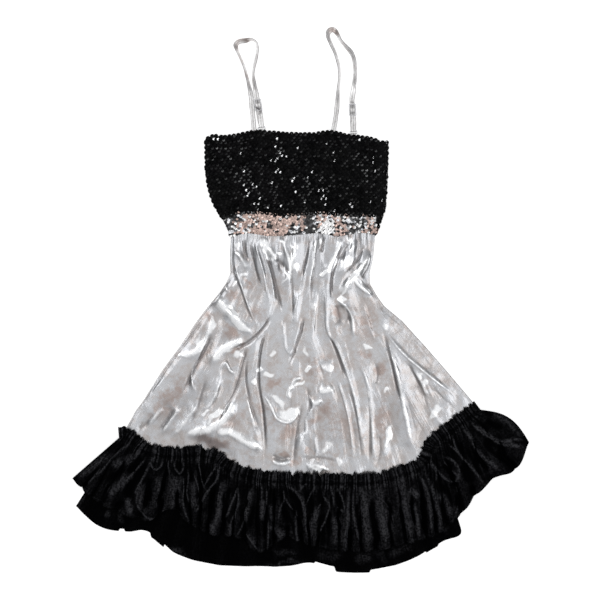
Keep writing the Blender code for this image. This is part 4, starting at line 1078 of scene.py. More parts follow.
def build_skirt_front(sizes, look):
    """The gathered silver skirt, with its creases placed one by one."""
    t, s = shares_of(SKIRT_GRID)
    x, y = skirt_place(s, t)
    x += FRONT_INSET * (1 - 2 * s)
    z = blurred(solid_top("skirt_front", x, y), 8, 9) - SILVER_CLOTH / 2
    inside = edge_fade(s, 0.002, 0.03)
    drawn = ripples(s, 0.4 * t, (8, 11, 15, 19), 61)
    gathers = WAIST_GATHER * gather_wave(sizes.waist_gathers, s, 0.5) * rising(0.05, 0.0, t)
    gathers += DRAWN_FOLD * drawn * rising(0.22, 0.0, t)
    fine = FINE_RIPPLE * ripples(s, t, (13, 23, 37, 53), 5) * spread_out(x) ** 2
    ridge, trough, line, swell = (np.zeros_like(x) for _ in range(4))
    for half, height, lean, *places in SKIRT_CREASES:
        profile = crease_profile(x, y, places, 1.2 * half if height > 0 else half, lean)
        swell += 0.45 * height * crease_profile(x, y, places, BROAD_FLANK * half, -lean)
        if height > 0:
            ridge = np.maximum(ridge, height * profile)
        else:
            trough = np.maximum(trough, -height * profile)
            line = np.maximum(line, -height * profile**2.5)
    # These spots lift the cloth a little and also give its painted highlights
    dents = spots(x, y, SKIRT_GLEAMS)
    pressed = 0.75 * soft_dents(x, y, 30, 41) + 0.3 * soft_dents(x, y, 14, 42)
    swell += pressed * spread_out(x) ** 2
    folds = 0.35 * (ridge - trough) + MOST_SWELL * np.tanh(swell / MOST_SWELL) + 0.5 * dents
    z += (gathers + fine + sizes.crease_depth * folds) * inside
    floor = SKIRT_FRONT_LOWEST * inside + SKIRT_EDGE_LOWEST * (1 - inside)
    z = floor + FLOOR_SOFTNESS * np.logaddexp(0, (z - floor) / FLOOR_SOFTNESS)
    local, wide = relief(z, 3, 3), relief(z, 11, 9)
    drawn *= rising(0.13, 0.0, t)
    # Painted highlight: on the spots listed, on ridges and raised places, and on the crests of the drawn
    # folds at the waist
    gleam = dents + 0.2 * ridge + 0.15 * np.clip(local, 0, 1.5) + 0.4 * np.clip(drawn - 0.4, 0, 1)
    # Painted shade: in the troughs and hollows of the cloth, in the broad shadows listed and in the valleys
    # of the drawn folds at the waist
    shade = 0.3 * line + 0.15 * np.clip(-local, 0, 1.5) + spots(x, y, SKIRT_SHADOWS)
    shade += 0.9 * np.clip(-drawn - 0.5, 0, 1)
    gleam, shade = np.clip(gleam, 0, 1), np.clip(shade, 0, 1)
    # Painted sheen: high on the crests and near the waist, where the silver is drawn bluer and lighter, and
    # low between the folds
    crest_sheen = np.clip(0.35 + 0.3 * wide + 0.4 * rising(0.45, 0.0, t), 0, 1)
    marks = {"gleam": gleam, "shade": shade, "crest_sheen": crest_sheen, "patch": spots(x, y, SKIRT_PATCHES)}
    marks["spread"] = spread_out(x) ** 2
    points, marks = turned_under(np.dstack([x, y, z]), marks, *SKIRT_TURN)
    cloth_piece("skirt_front", [points], marks, look)


def build_skirt_back(sizes, look):
    """The skirt's back, which lies on the surface, its folds pressed flat."""
    t, s = shares_of(SKIRT_BACK_GRID)
    x, y = skirt_place(s, t)
    pressed = BACK_FOLD * gather_wave(BACK_FOLDS, s, 0.06) ** 3 * edge_fade(s, 0.03, 0.1)
    lower = pressed * rising(0.95, 0.75, t) + SKIRT_LIFT * rising(0.86, 0.93, t)
    inside = edge_fade(s, 0.0, 0.03)
    crease = np.zeros_like(x)
    for half, height, lean, *places in SKIRT_CREASES:
        mirrored = [(5 - px, py - 6) for px, py in places]
        crease = np.maximum(crease, abs(height) * crease_profile(x, y, mirrored, half * 1.2, -lean))
    gathers = 0.6 * gather_wave(sizes.waist_gathers, s, 0.4) * rising(0.12, 0.0, t)
    lower += (0.3 * np.minimum(crease, 3) + gathers) * inside
    upper = np.minimum(lower + SKIRT_BACK_THICK, SKIRT_BACK_HIGHEST)
    lower = np.minimum(lower, upper - 0.3)
    # Painted shade along the creases of the back
    shade = np.clip(0.3 * crease, 0, 1)
    # Painted highlight on the back, from the front's spots mirrored
    gleam = np.clip(spots(5 - x, y, SKIRT_GLEAMS) * 0.7, 0, 1)
    patch = spots(5 - x, y, SKIRT_PATCHES)
    # Painted sheen on the back's gathers, a bluer and lighter silver
    marks = {"gleam": gleam, "shade": shade, "crest_sheen": 0.3 + 0.4 * gathers, "patch": patch}
    marks["spread"] = spread_out(x) ** 2
    layers = np.dstack([x, y, upper]), np.dstack([x, y, lower])
    cloth_piece("skirt_back", layers, marks, look)


def header_tufts(share, pitch):
    """Gathers along the ruffle's header, uneven in width and height, 0 in the valley between two."""
    turns = share * HEADER_LENGTH / pitch + 0.4 * np.sin(2 * np.pi * share * 13)
    turns += 0.25 * np.sin(2 * np.pi * share * 41 + 1)
    tall = 0.75 + 0.25 * np.sin(2 * np.pi * share * 29 + 0.5 * np.sin(2 * np.pi * share * 71))
    return tall * np.abs(np.sin(np.pi * turns)) ** 0.7


def build_ruffle_front(sizes, look):
    """The front half of the ruffle: gathered header, folds that open to the hem, and turned hem."""
    header_rows = np.linspace(0, HEADER_SHARE, HEADER_ROWS)
    fall_rows = np.linspace(HEADER_SHARE, 1, RUFFLE_GRID[0] - HEADER_ROWS + 1)[1:]
    count = len(RUFFLE_FOLDS["top"])
    t, phase = grid(np.concatenate([header_rows, fall_rows]), np.linspace(0, count, RUFFLE_GRID[1]))
    knots = np.linspace(0, count, 2 * count + 1)
    top = np.interp(phase, knots, fold_line(share_at(HEADER, RUFFLE_FOLDS["top"])))
    low = np.interp(phase, knots, fold_line(share_at(FRONT_HEM, RUFFLE_FOLDS["hem"])))
    x, y = ruffle_place(top, low, t, FRONT_HEM)
    wander = 0.16 * ripples(top, t, (5, 9, 14), 16) * rising(HEADER_SHARE, 0.45, t)
    wander *= rising(1.02, 0.75, t)
    deep = np.clip(0.75 + 0.6 * ripples(top, t, (6, 11, 17), 17), 0.25, 1)
    wave = 1 - deep * (1 - np.abs(np.sin(np.pi * (phase + wander))) ** 0.8)
    tall = np.interp(phase, np.arange(count) + 0.5, RUFFLE_FOLDS["height"])
    pinch = 0.7 + 1.2 * rising(HEADER_SHARE, 0, t)
    ends = 0.25 + 0.75 * edge_fade(phase / count, 0.0, 0.03)
    height = pinch + (tall - pinch) * rising(HEADER_SHARE, 0.9, t) ** 0.8
    over_hem = SILVER_CLOTH * 2 + SKIRT_LIFT + SEAM * 2 + FRONT_HEM_FOLD + 0.2
    over_back = RUFFLE_BACK_PLEAT + RUFFLE_CLOTH + SEAM
    lower = over_hem + (over_back - over_hem) * rising(0.2, 0.5, t)
    z = lower + height * wave * ends + RUFFLE_CLOTH / 2
    out = FOLD_SPREAD * (wave - 0.5) * rising(0.5, 1, t) * edge_fade(phase / count, 0, 0.04)
    hx, hy = along(HEADER, top)
    reach = np.hypot(x - hx, y - hy) + 1
    inside = edge_fade(phase / count, 0, 0.01)
    tuft = header_tufts(top, sizes.gather_pitch)
    ragged = TUFT_TALL * (tuft - 0.4) + RAGGED_EDGE * ripples(top, t * 0, (41, 67, 97), 31)
    for place, half, deep in HEADER_NOTCHES:
        ragged -= deep * np.exp(-(((hx - place) / half) ** 2))
    edge_x, edge_y = below_header(top, -ragged * rising(HEADER_SHARE * 0.8, 0, t))
    x, y = x + out * (x - hx) / reach + edge_x - hx, y + out * (y - hy) / reach + edge_y - hy
    stitched = rising(0.05, 0.0, np.abs(t - HEADER_SHARE))
    pleats = TUFT_HIGH * tuft * (1 - 0.6 * stitched) * rising(0.42, 0.16, t)
    fine = RUFFLE_RIPPLE * ripples(top, t, (31, 53, 89), 9) * rising(0.12, 0.3, t)
    light, dark = np.zeros_like(x), np.zeros_like(x)
    for half, strength, *places in RUFFLE_STROKES:
        profile = crease_profile(x, y, places, half, 0.2)
        light = np.maximum(light, strength * profile)
        dark = np.maximum(dark, -strength * profile)
    strokes = STROKE_RISE * light - STROKE_DIP * dark
    z += (pleats - STITCHED_DIP * stitched + fine + strokes) * inside
    hem_roll = 0.7 * hem_rise(t)
    z += hem_roll * inside
    local = relief(z, 3, 5)
    below = rising(HEADER_SHARE, 0.25, t)
    ticks = tuft**3 * np.clip(0.7 + ripples(top, t * 0, (23, 37, 59), 21), 0, 1.4)
    face = 0.1 + 0.08 * ripples(top, t, (11, 17, 29), 14) + 0.1 * np.exp(-(((x - 120) / 60) ** 2))
    crests = 1.6 * ticks * (1 - below) + 0.15 * np.clip(local, 0, 1.2) + 0.08 * hem_roll
    # Painted sheen: a low even sheen on the faces, more about x 120, on the header's tufts, on raised
    # places and the hem roll, and along the sheens listed
    gleam = np.clip(face + crests + light, 0, 1)
    # Painted shade: along the shadows listed, in the valleys of the folds and in hollows
    shade = 1.2 * dark * (1 - light) + 0.2 * (1 - wave) ** 2 - 0.8 * local
    marks = {"gleam": gleam, "shade": np.clip(shade, 0, 1)}
    points, marks = turned_under(np.dstack([x, y, z]), marks, *RUFFLE_TURN)
    below = ["ruffle_back_cloth", "skirt_front_cloth"]
    cloth_piece("ruffle_front", [points], marks, look)


def build_ruffle_back(sizes, look):
    """The back half of the ruffle, in broad pleats pressed on the surface."""
    t, s = shares_of(RUFFLE_BACK_GRID)
    x, y = ruffle_place(s, s, t, BACK_HEM)
    for place, half, deep in BACK_HEM_STEPS:
        y -= deep * rising(half + 2, half, np.abs(x - place)) * rising(0.6, 1, t)
    pleat = gather_wave(BACK_PLEATS, s, 0.15) ** 2
    height = RUFFLE_BACK_GATHER + (RUFFLE_BACK_PLEAT - RUFFLE_BACK_GATHER) * rising(0.25, 0.7, t)
    inside = edge_fade(s, 0.0, 0.02)
    gather = header_tufts(s, sizes.gather_pitch)
    fine = 0.25 + 0.25 * ripples(s, t, (37, 61, 83), 12)
    lower = (height * pleat + 0.5 * gather * rising(0.35, 0.1, t) + 0.5 * fine) * inside
    lower = np.maximum(lower, 0)
    hem_roll = 0.5 * hem_rise(t)
    upper = lower + 0.6 + (hem_roll + 0.7 * fine * rising(0.5, 0.8, t)) * inside
    # Painted sheen on the back's pleats, its hem roll and the sheens listed
    gleam = np.clip(0.04 + 0.04 * pleat + 0.1 * hem_roll + 0.8 * spots(x, y, RUFFLE_BACK_SHEENS), 0, 1)
    # Painted shade between the back's pleats
    marks = {"gleam": gleam, "shade": np.clip(0.5 - pleat, 0, 1) * 0.6}
    layers = np.dstack([x, y, upper]), np.dstack([x, y, lower])
    cloth_piece("ruffle_back", layers, marks, look)


def hem_rise(down):
    """The roll of a ruffle's turned hem, 1 at its crest, from shares down the ruffle."""
    return np.exp(-(((1 - down) * RUFFLE_FALL - HEM_ROLL_AT) / HEM_ROLL_WIDE) ** 2)


def feed(tree, node, sockets):
    """Sets each named input of a node to a value, or links a socket to it."""
    for name, value in sockets.items():
        if isinstance(value, bpy.types.NodeSocket):
            tree.links.new(value, node.inputs[name])
        else:
            node.inputs[name].default_value = value


def add(tree, kind, sockets=(), **settings):
    """A new node with its settings, each named input set to a value or linked to a socket."""
    made = tree.nodes.new(kind)
    for name, value in settings.items():
        setattr(made, name, value)
    feed(tree, made, dict(sockets))
    return made


def sums(tree, kind, first, second, third=0.0):
    """The result of one sum on values or sockets."""
    return add(tree, "ShaderNodeMath", {0: first, 1: second, 2: third}, operation=kind).outputs[0]


def product(tree, first, second):
    """Two values multiplied."""
    return sums(tree, "MULTIPLY", first, second)


def scaled(tree, value, factor, offset):
    """A value times a factor, plus an offset."""
    return sums(tree, "MULTIPLY_ADD", value, factor, offset)


def vectors(tree, kind, *sockets, output=0):
    """The result of one sum on vectors."""
    return add(tree, "ShaderNodeVectorMath", dict(enumerate(sockets)), operation=kind).outputs[output]


def opaque(colour):
    """A colour with its alpha, or a socket as it is."""
    return colour if isinstance(colour, bpy.types.NodeSocket) else (*colour, 1)


def mixed(tree, share, first, second):
    """A colour between two others."""
    sockets = {0: share, 6: opaque(first), 7: opaque(second)}
    return add(tree, "ShaderNodeMix", sockets, data_type="RGBA").outputs[2]


def eased(tree, value, low, high):
    """A value brought from low and high to 0 and 1 with a smooth rise."""
    sockets = {"Value": value, "From Min": low, "From Max": high}
    return add(tree, "ShaderNodeMapRange", sockets, interpolation_type="SMOOTHSTEP").outputs[0]


def new_look(name, viewport):
    """A material with its Principled shader and an empty start."""
    look = bpy.data.materials.new(name)
    look.use_nodes = True
    look.diffuse_color = (*viewport, 1)
    return look, look.node_tree, look.node_tree.nodes["Principled BSDF"]


def shader_group(name, inputs, outputs):
    """A node group with named inputs and outputs, and its two end nodes."""
    group = bpy.data.node_groups.new(name, "ShaderNodeTree")
    for label, kind, value in inputs:
        socket = group.interface.new_socket(label, in_out="INPUT", socket_type=kind)
        if value is not None:
            socket.default_value = value
    for label, kind in outputs:
        group.interface.new_socket(label, in_out="OUTPUT", socket_type=kind)
    return group, group.nodes.new("NodeGroupInput"), group.nodes.new("NodeGroupOutput")


def noise(tree, place, scale, detail, **more):
    """Fine noise about a half, by its scale for each metre."""
    sockets = {"Vector": place, "Scale": scale, "Detail": detail, **more}
    return add(tree, "ShaderNodeTexNoise", sockets).outputs[0]


def wrinkle_group():
    """Height of fine wrinkles that run down a cloth, from its UV map in metres."""
    number = "NodeSocketFloat"
    inputs = [("Flat Cloth", "NodeSocketVector", None), ("Across", number, 220.0), ("Down", number, 40.0)]
    group, start, end = shader_group("Fine Wrinkles", inputs, [("Height", number)])
    scale = add(group, "ShaderNodeCombineXYZ", {"X": start.outputs["Across"], "Y": start.outputs["Down"]})
    placed = vectors(group, "MULTIPLY", start.outputs["Flat Cloth"], scale.outputs[0])
    wrinkles = noise(group, placed, 1.0, 3.0, Roughness=0.55, Distortion=0.4)
    feed(group, end, {"Height": wrinkles})
    return group


def mottle_group():
    """Uneven cloudy mask between 0 and 1, in metres on the piece itself."""
    inputs = [("Place", "NodeSocketVector", None), ("Patch Size", "NodeSocketFloat", 0.03)]
    group, start, end = shader_group("Cloudy Mottle", inputs, [("Mask", "NodeSocketFloat")])
    scale = sums(group, "DIVIDE", 1.0, start.outputs["Patch Size"])
    clouds = noise(group, start.outputs["Place"], scale, 3.0, Roughness=0.6, Distortion=0.6)
    feed(group, end, {"Mask": eased(group, clouds, 0.35, 0.65)})
    return group


def crumple_group():
    """Height of soft dents in pressed cloth, a little longer down it than across."""
    inputs = [("Place", "NodeSocketVector", None), ("Patch Size", "NodeSocketFloat", 0.02)]
    group, start, end = shader_group("Soft Dents", inputs, [("Height", "NodeSocketFloat")])
    scale = sums(group, "DIVIDE", 1.0, start.outputs["Patch Size"])
    placed = vectors(group, "MULTIPLY", start.outputs["Place"], (1.0, DENT_STRETCH, 0.0))
    feed(group, end, {"Height": noise(group, placed, scale, 2.0, Roughness=0.5, Distortion=0.9)})
    return group


def crescent_group():
    """Mask of the painted lit crescent on a sequin, from places on its disc between -1 and 1."""
    number = "NodeSocketFloat"
    inputs = [("Disc Place", "NodeSocketVector", None), ("Lit", number, 0.0)]
    group, start, end = shader_group("Lit Crescent", inputs, [("Mask", number)])
    from_centre, from_bite = (
        vectors(group, "DISTANCE", start.outputs["Disc Place"], centre, output="Value")
        for centre in (CRESCENT_CENTRE, CRESCENT_BITE)
    )
    shape = product(group, eased(group, from_centre, 0.62, 0.46), eased(group, from_bite, 0.3, 0.42))
    feed(group, end, {"Mask": product(group, shape, start.outputs["Lit"])})
    return group


def use_group(tree, group, sockets):
    """The output of a node group placed in a material."""
    return add(tree, "ShaderNodeGroup", sockets, node_tree=group).outputs[0]


def mark(tree, name, output="Fac"):
    """The value of one of the piece's marks."""
    return add(tree, "ShaderNodeAttribute", attribute_name=name).outputs[output]


def lines_on(tree, wrinkles, size):
    """Wrinkles of the flat cloth, so many a metre across and down."""
    flat = add(tree, "ShaderNodeTexCoord").outputs["UV"]
    return use_group(tree, wrinkles, {"Flat Cloth": flat, "Across": size[0], "Down": size[1]})


def own_place(tree):
    """Places in metres on the piece itself."""
    return add(tree, "ShaderNodeTexCoord").outputs["Object"]


def patches_on(tree, group, size):
    """Cloudy patches or dents of a size in metres on the piece."""
    return use_group(tree, group, {"Place": own_place(tree), "Patch Size": size})


def bumped(tree, shader, height, strength, distance):
    """Gives a shader its fine relief, in metres."""
    sockets = {"Height": height, "Strength": strength, "Distance": distance}
    feed(tree, shader, {"Normal": add(tree, "ShaderNodeBump", sockets).outputs[0]})


def silver_look(colours, wrinkles, mottle, crumple):
    """Thin silver cloth with a foil face: rosy where it is thin, with a painted sheen on its crests,
    painted highlights where it catches the light and painted shade in its creases.
    """
    _, tree, shader = new_look("silver_cloth", colours.silver)
    soft_folds, long_wrinkles, fine_wrinkles = (
        lines_on(tree, wrinkles, size) for size in (SOFT_FOLDS, LONG_WRINKLES, FINE_WRINKLES)
    )
    clouds, flecks = (patches_on(tree, mottle, size) for size in (SILVER_CLOUD, SILVER_FLECK))
    dents, small_dents = (patches_on(tree, crumple, size) for size in (SILVER_DENT, SMALL_DENT))
    grain = noise(tree, own_place(tree), SILVER_GRAIN, 2.0)
    uneven = scaled(tree, flecks, 0.5, -0.25)
    cloudy = scaled(tree, clouds, 0.5, uneven)
    # Painted sheen: bluer, lighter silver where the crest sheen is high, rosier where it is low
    warm = eased(tree, scaled(tree, mark(tree, "crest_sheen"), -0.9, cloudy), -0.65, 0.5)
    # Rosy and brown patches from the patch mark, the darkest of them painted shade
    rosy_patches = eased(tree, scaled(tree, mark(tree, "patch"), 1.1, cloudy), 0.25, 1.6)
    # Painted highlight: the cloth goes to the gleam colour where the gleam mark is high
    lit = eased(tree, scaled(tree, uneven, 0.5, mark(tree, "gleam")), 0.25, 0.85)
    base = mixed(tree, rosy_patches, mixed(tree, warm, colours.silver, colours.rose), colours.patch)
    # Painted shade: the cloth goes to the crease colour where the shade mark is high
    base = mixed(tree, product(tree, mark(tree, "shade"), 0.75), base, colours.crease)
    rough = scaled(tree, lit, -0.1, scaled(tree, grain, 0.14, 0.2))
    base = mixed(tree, lit, base, colours.gleam)
    feed(tree, shader, {"Base Color": base, "Roughness": rough, "Metallic": 0.88})
    height = scaled(tree, long_wrinkles, 0.25, product(tree, soft_folds, 1.6))
    height = scaled(tree, fine_wrinkles, 0.15, height)
    height = product(tree, scaled(tree, dents, 1.3, height), mark(tree, "spread"))
    height = scaled(tree, small_dents, 0.4, height)
    bumped(tree, shader, scaled(tree, grain, 0.03, height), 1.0, MM)


def satin_look(colours, wrinkles, mottle):
    """Black crepe-backed satin: painted dark in its folds, with a soft painted sheen and fine ribs on its
    crests.
    """
    _, tree, shader = new_look("black_satin_cloth", colours.satin)
    ribs, streaks = (lines_on(tree, wrinkles, size) for size in (CREPE_RIBS, SATIN_STREAKS))
    crepe = patches_on(tree, mottle, CREPE_SIZE)
    texture = product(tree, scaled(tree, streaks, 2.2, -0.2), scaled(tree, crepe, 1.3, 0.35))
    texture = product(tree, texture, scaled(tree, ribs, 1.6, 0.2))
    shadow = scaled(tree, mark(tree, "shade"), -1.0, 1.0)
    # The sheen is painted: the satin goes to its sheen colour where the gleam mark is high and the shade
    # mark low
    sheen = product(tree, product(tree, mark(tree, "gleam"), texture), shadow)
    sheen = sums(tree, "POWER", sums(tree, "MINIMUM", sheen, 1.2), 1.4)
    sockets = {
        "Base Color": mixed(tree, sheen, colours.satin, colours.satin_sheen),
        "Roughness": scaled(tree, ribs, 0.2, 0.38),
        "Specular IOR Level": scaled(tree, sheen, 0.12, 0.006),
    }
    feed(tree, shader, sockets)
    bumped(tree, shader, scaled(tree, streaks, 0.8, ribs), 0.5, 0.0009)


def sequin_look(name, colours, crescent, mottle, silvery):
    """Cupped plastic sequins: black ones with painted lit crescents, or metallised ones in several tones
    with painted shade at their rims.
    """
    _, tree, shader = new_look(name, colours.band if silvery else colours.sequin)
    disc = mark(tree, "disc", "Vector")
    lit = use_group(tree, crescent, {"Disc Place": disc, "Lit": mark(tree, "glint")})
    scuffs = patches_on(tree, mottle, SCUFF_SIZE)
    if silvery:
        # Painted shade at the rim of each silver sequin, less on the palest ones
        outward = vectors(tree, "LENGTH", disc, output="Value")
        rim = product(tree, eased(tree, outward, 0.6, 1.0), scaled(tree, mark(tree, "tone"), -0.6, 0.75))
        base = mixed(tree, rim, mark(tree, "tone", "Color"), colours.satin_sheen)
        sockets = {"Metallic": 0.95, "Roughness": scaled(tree, scuffs, 0.12, 0.28)}
    else:
        base = mixed(tree, scuffs, colours.sequin, SCUFFED_SEQUIN)
        sockets = {"Metallic": lit, "Roughness": scaled(tree, scuffs, 0.15, 0.2)}
        sockets["Specular IOR Level"] = 0.05
    # Painted highlight: the sequin goes to the gleam colour inside its lit crescent
    feed(tree, shader, {"Base Color": mixed(tree, lit, base, colours.gleam), **sockets})
    bumped(tree, shader, scuffs, 0.15, 0.0002)


def backing_look(name, colour, wrinkles):
    """Stretch cloth under the sequins, shirred in fine ripples, with painted shade in their hollows."""
    _, tree, shader = new_look(name, colour)
    ripple = lines_on(tree, wrinkles, SHIRRING)
    # Painted shade: half as bright in the hollows of the ripples
    base = mixed(tree, ripple, [c * 0.5 for c in colour], colour)
    feed(tree, shader, {"Base Color": base, "Roughness": 0.7, "Specular IOR Level": 0.05})
    bumped(tree, shader, ripple, 0.6, 0.0008)


def strap_look(colours, wrinkles, mottle):
    """Silver foil tape of the straps, rosy in places, with painted shade in its groove, along its edges and
    beside its sliders, and painted highlights on its creases.
    """
    _, tree, shader = new_look("silver_strap", colours.silver)
    creases, rosy_patches = lines_on(tree, wrinkles, TAPE_CREASES), patches_on(tree, mottle, TAPE_WEAR)
    base = mixed(tree, product(tree, rosy_patches, 0.3), colours.strap, colours.rose)
    # Painted shade where the groove mark is high: in the groove, along the edges and in the slit shadows
    base = mixed(tree, product(tree, mark(tree, "groove"), 0.9), base, colours.crease)
    # Painted highlight on the raised creases
    base = mixed(tree, product(tree, eased(tree, creases, 0.5, 0.7), 0.6), base, colours.gleam)
    base = mixed(tree, product(tree, mark(tree, "patch"), 0.85), base, colours.patch)
    rough = scaled(tree, creases, 0.2, 0.2)
    feed(tree, shader, {"Base Color": base, "Roughness": rough, "Metallic": 0.6})
    bumped(tree, shader, creases, 0.5, 0.0006)


def fitting_look(colours, mottle):
    """Plated wire of the sliders and rings, with light scratches."""
    _, tree, shader = new_look("plated_wire", colours.fitting)
    scratches = noise(tree, own_place(tree), WIRE_SCRATCHES, 3.0)
    tarnish = product(tree, patches_on(tree, mottle, TARNISH_SIZE), 0.6)
    base = mixed(tree, tarnish, colours.fitting, [c * 0.75 for c in colours.fitting])
    rough = scaled(tree, scratches, 0.25, 0.12)
    feed(tree, shader, {"Base Color": base, "Roughness": rough, "Metallic": 1.0})
    bumped(tree, shader, scratches, 0.2, 0.0001)


def thread_look(name, colour):
    """Twisted sewing thread, with a painted sheen on its raised twists."""
    _, tree, shader = new_look(name, colour)
    twist = noise(tree, own_place(tree), THREAD_TWIST, 2.0)
    # Painted sheen: lighter on the raised twists
    base = mixed(tree, twist, colour, [c * 2 for c in colour])
    feed(tree, shader, {"Base Color": base, "Roughness": 0.6, "Specular IOR Level": 0.05})
    bumped(tree, shader, twist, 0.5, 0.0002)


def the_look(name):
    """A finish of the dress, with all of them made the first time that one is asked for."""
    if name not in bpy.data.materials:
        colours = bpy.context.scene.dress_colours
        wrinkles, mottle, crescent = wrinkle_group(), mottle_group(), crescent_group()
        silver_look(colours, wrinkles, mottle, crumple_group())
        satin_look(colours, wrinkles, mottle)
        sequin_look("black_sequins", colours, crescent, mottle, False)
        sequin_look("silver_sequins", colours, crescent, mottle, True)
        backing_look("black_backing", BLACK_BACKING, wrinkles)
        backing_look("band_backing", BAND_BACKING, wrinkles)
        strap_look(colours, wrinkles, mottle)
        fitting_look(colours, mottle)
        thread_look("black_thread", BLACK_THREAD)
    return bpy.data.materials[name]


def node_mesh(name, points, tree, settings, edges=()):
    """A plain mesh made by a Geometry Nodes tree from points and their marks."""
    mesh = bpy.data.meshes.new(name)
    mesh.from_pydata([tuple(p) for p in np.asarray(points.pop("place")) * MM], list(edges), [])
    for mark_name, values in points.items():
        values = np.asarray(values, np.float32)
        kind, entry = ("FLOAT_VECTOR", "vector") if values.ndim == 2 else ("FLOAT", "value")
        attribute = mesh.attributes.new(mark_name, kind, "POINT")
        attribute.data.foreach_set(entry, values.ravel())
    source = placed_object(name + "_points", mesh)
    modifier = source.modifiers.new("Nodes", "NODES")
    modifier.node_group = tree
    for item in tree.interface.items_tree:
        if item.name in settings:
            modifier[item.identifier] = settings[item.name]
    graph = bpy.context.evaluated_depsgraph_get()
    finished = bpy.data.meshes.new_from_object(source.evaluated_get(graph))
    bpy.data.objects.remove(source)
    made = placed_object(name, finished)
    made.data.name = name
    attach(made, "root")
    return made


def geometry_tree(name, sizes):
    """A Geometry Nodes tree with named sizes, and its two end nodes."""
    tree = bpy.data.node_groups.new(name, "GeometryNodeTree")
    tree.is_modifier = True
    add_socket = tree.interface.new_socket
    add_socket("Geometry", in_out="INPUT", socket_type="NodeSocketGeometry")
    for label, value in sizes:
        socket = add_socket(label, in_out="INPUT", socket_type="NodeSocketFloat")
        socket.subtype = "DISTANCE"
        socket.default_value = value
    add_socket("Geometry", in_out="OUTPUT", socket_type="NodeSocketGeometry")
    return tree, tree.nodes.new("NodeGroupInput"), tree.nodes.new("NodeGroupOutput")


def finished_by(tree, instances, look, end):
    """Realises a tree's instances, gives them their material and sends them out."""
    real = add(tree, "GeometryNodeRealizeInstances", {0: instances})
    painted = add(tree, "GeometryNodeSetMaterial", {"Geometry": real.outputs[0], "Material": look})
    feed(tree, end, {0: painted.outputs[0]})


def point_mark(tree, name, kind):
    """A mark of the points that a tree works on."""
    return add(tree, "GeometryNodeInputNamedAttribute", {"Name": name}, data_type=kind).outputs[0]


def sequin_tree(name, look):
    """Puts a cupped sequin with a hole on every point, turned and sized by the point's marks."""
    tree, start, end = geometry_tree(name, (("Diameter", 0.0069), ("Hole", 0.001), ("Cup", 0.0005)))
    radius = product(tree, start.outputs["Diameter"], 0.5)
    hole = product(tree, start.outputs["Hole"], 0.5)
    cone = {"Vertices": SEQUIN_SIDES, "Side Segments": 2, "Radius Top": hole, "Radius Bottom": radius}
    disc = add(tree, "GeometryNodeMeshCone", {**cone, "Depth": 0.0}, fill_type="NONE")
    place = tree.nodes.new("GeometryNodeInputPosition").outputs[0]
    share = sums(tree, "DIVIDE", vectors(tree, "LENGTH", place, output="Value"), radius)
    rise = product(tree, product(tree, share, share), start.outputs["Cup"])
    lift = add(tree, "ShaderNodeCombineXYZ", {"Z": rise}).outputs[0]
    per_radius = {0: place, "Scale": sums(tree, "DIVIDE", 1.0, radius)}
    spread = add(tree, "ShaderNodeVectorMath", per_radius, operation="SCALE")
    sockets = {"Geometry": disc.outputs[0], "Name": "disc", "Value": spread.outputs[0]}
    kinds = {"data_type": "FLOAT_VECTOR", "domain": "POINT"}
    stored = add(tree, "GeometryNodeStoreNamedAttribute", sockets, **kinds)
    cupped = add(tree, "GeometryNodeSetPosition", {"Geometry": stored.outputs[0], "Offset": lift})
    smooth = add(tree, "GeometryNodeSetShadeSmooth", {0: cupped.outputs[0]})
    facing = point_mark(tree, "facing", "FLOAT_VECTOR")
    sockets = {
        "Points": start.outputs["Geometry"],
        "Instance": smooth.outputs[0],
        "Rotation": add(tree, "FunctionNodeEulerToRotation", {0: facing}).outputs[0],
        "Scale": point_mark(tree, "size", "FLOAT"),
    }
    placed = add(tree, "GeometryNodeInstanceOnPoints", sockets)
    finished_by(tree, placed.outputs[0], look, end)
    return tree


def stitch_tree(name, look):
    """Lays a row of short thread stitches along each line of points."""
    tree, start, end = geometry_tree(name, (("Stitch", 0.0024), ("Gap", 0.0008), ("Thread", THREAD)))
    step = sums(tree, "ADD", start.outputs["Stitch"], start.outputs["Gap"])
    line = add(tree, "GeometryNodeMeshToCurve", {0: start.outputs["Geometry"]})
    sockets = {"Curve": line.outputs[0], "Length": step}
    spaced = add(tree, "GeometryNodeCurveToPoints", sockets, mode="LENGTH")
    half = product(tree, start.outputs["Thread"], 0.5)
    bead = add(tree, "GeometryNodeMeshUVSphere", {"Segments": 6, "Rings": 4, "Radius": 1.0})
    long = product(tree, start.outputs["Stitch"], 0.5)
    tangent = {"Vector": spaced.outputs["Tangent"]}
    sockets = {
        "Points": spaced.outputs["Points"],
        "Instance": bead.outputs[0],
        "Rotation": add(tree, "FunctionNodeAlignRotationToVector", tangent, axis="Z").outputs[0],
        "Scale": add(tree, "ShaderNodeCombineXYZ", {"X": half, "Y": half, "Z": long}).outputs[0],
    }
    placed = add(tree, "GeometryNodeInstanceOnPoints", sockets)
    finished_by(tree, placed.outputs[0], look, end)
    return tree


def sequin_turn(down, up, lean, roll):
    """Turn of a sequin on cloth with the given fall and normal, tipped by two angles in degrees."""
    z_axis = Vector(up).normalized()
    y_axis = (-Vector(down) + z_axis * Vector(down).dot(z_axis)).normalized()
    on_cloth = Matrix((y_axis.cross(z_axis), y_axis, z_axis)).transposed()
    leaning = Matrix.Rotation(math.radians(lean), 3, "X")
    rolled = Matrix.Rotation(math.radians(roll), 3, "Y")
    return tuple((on_cloth @ leaning @ rolled).to_euler())


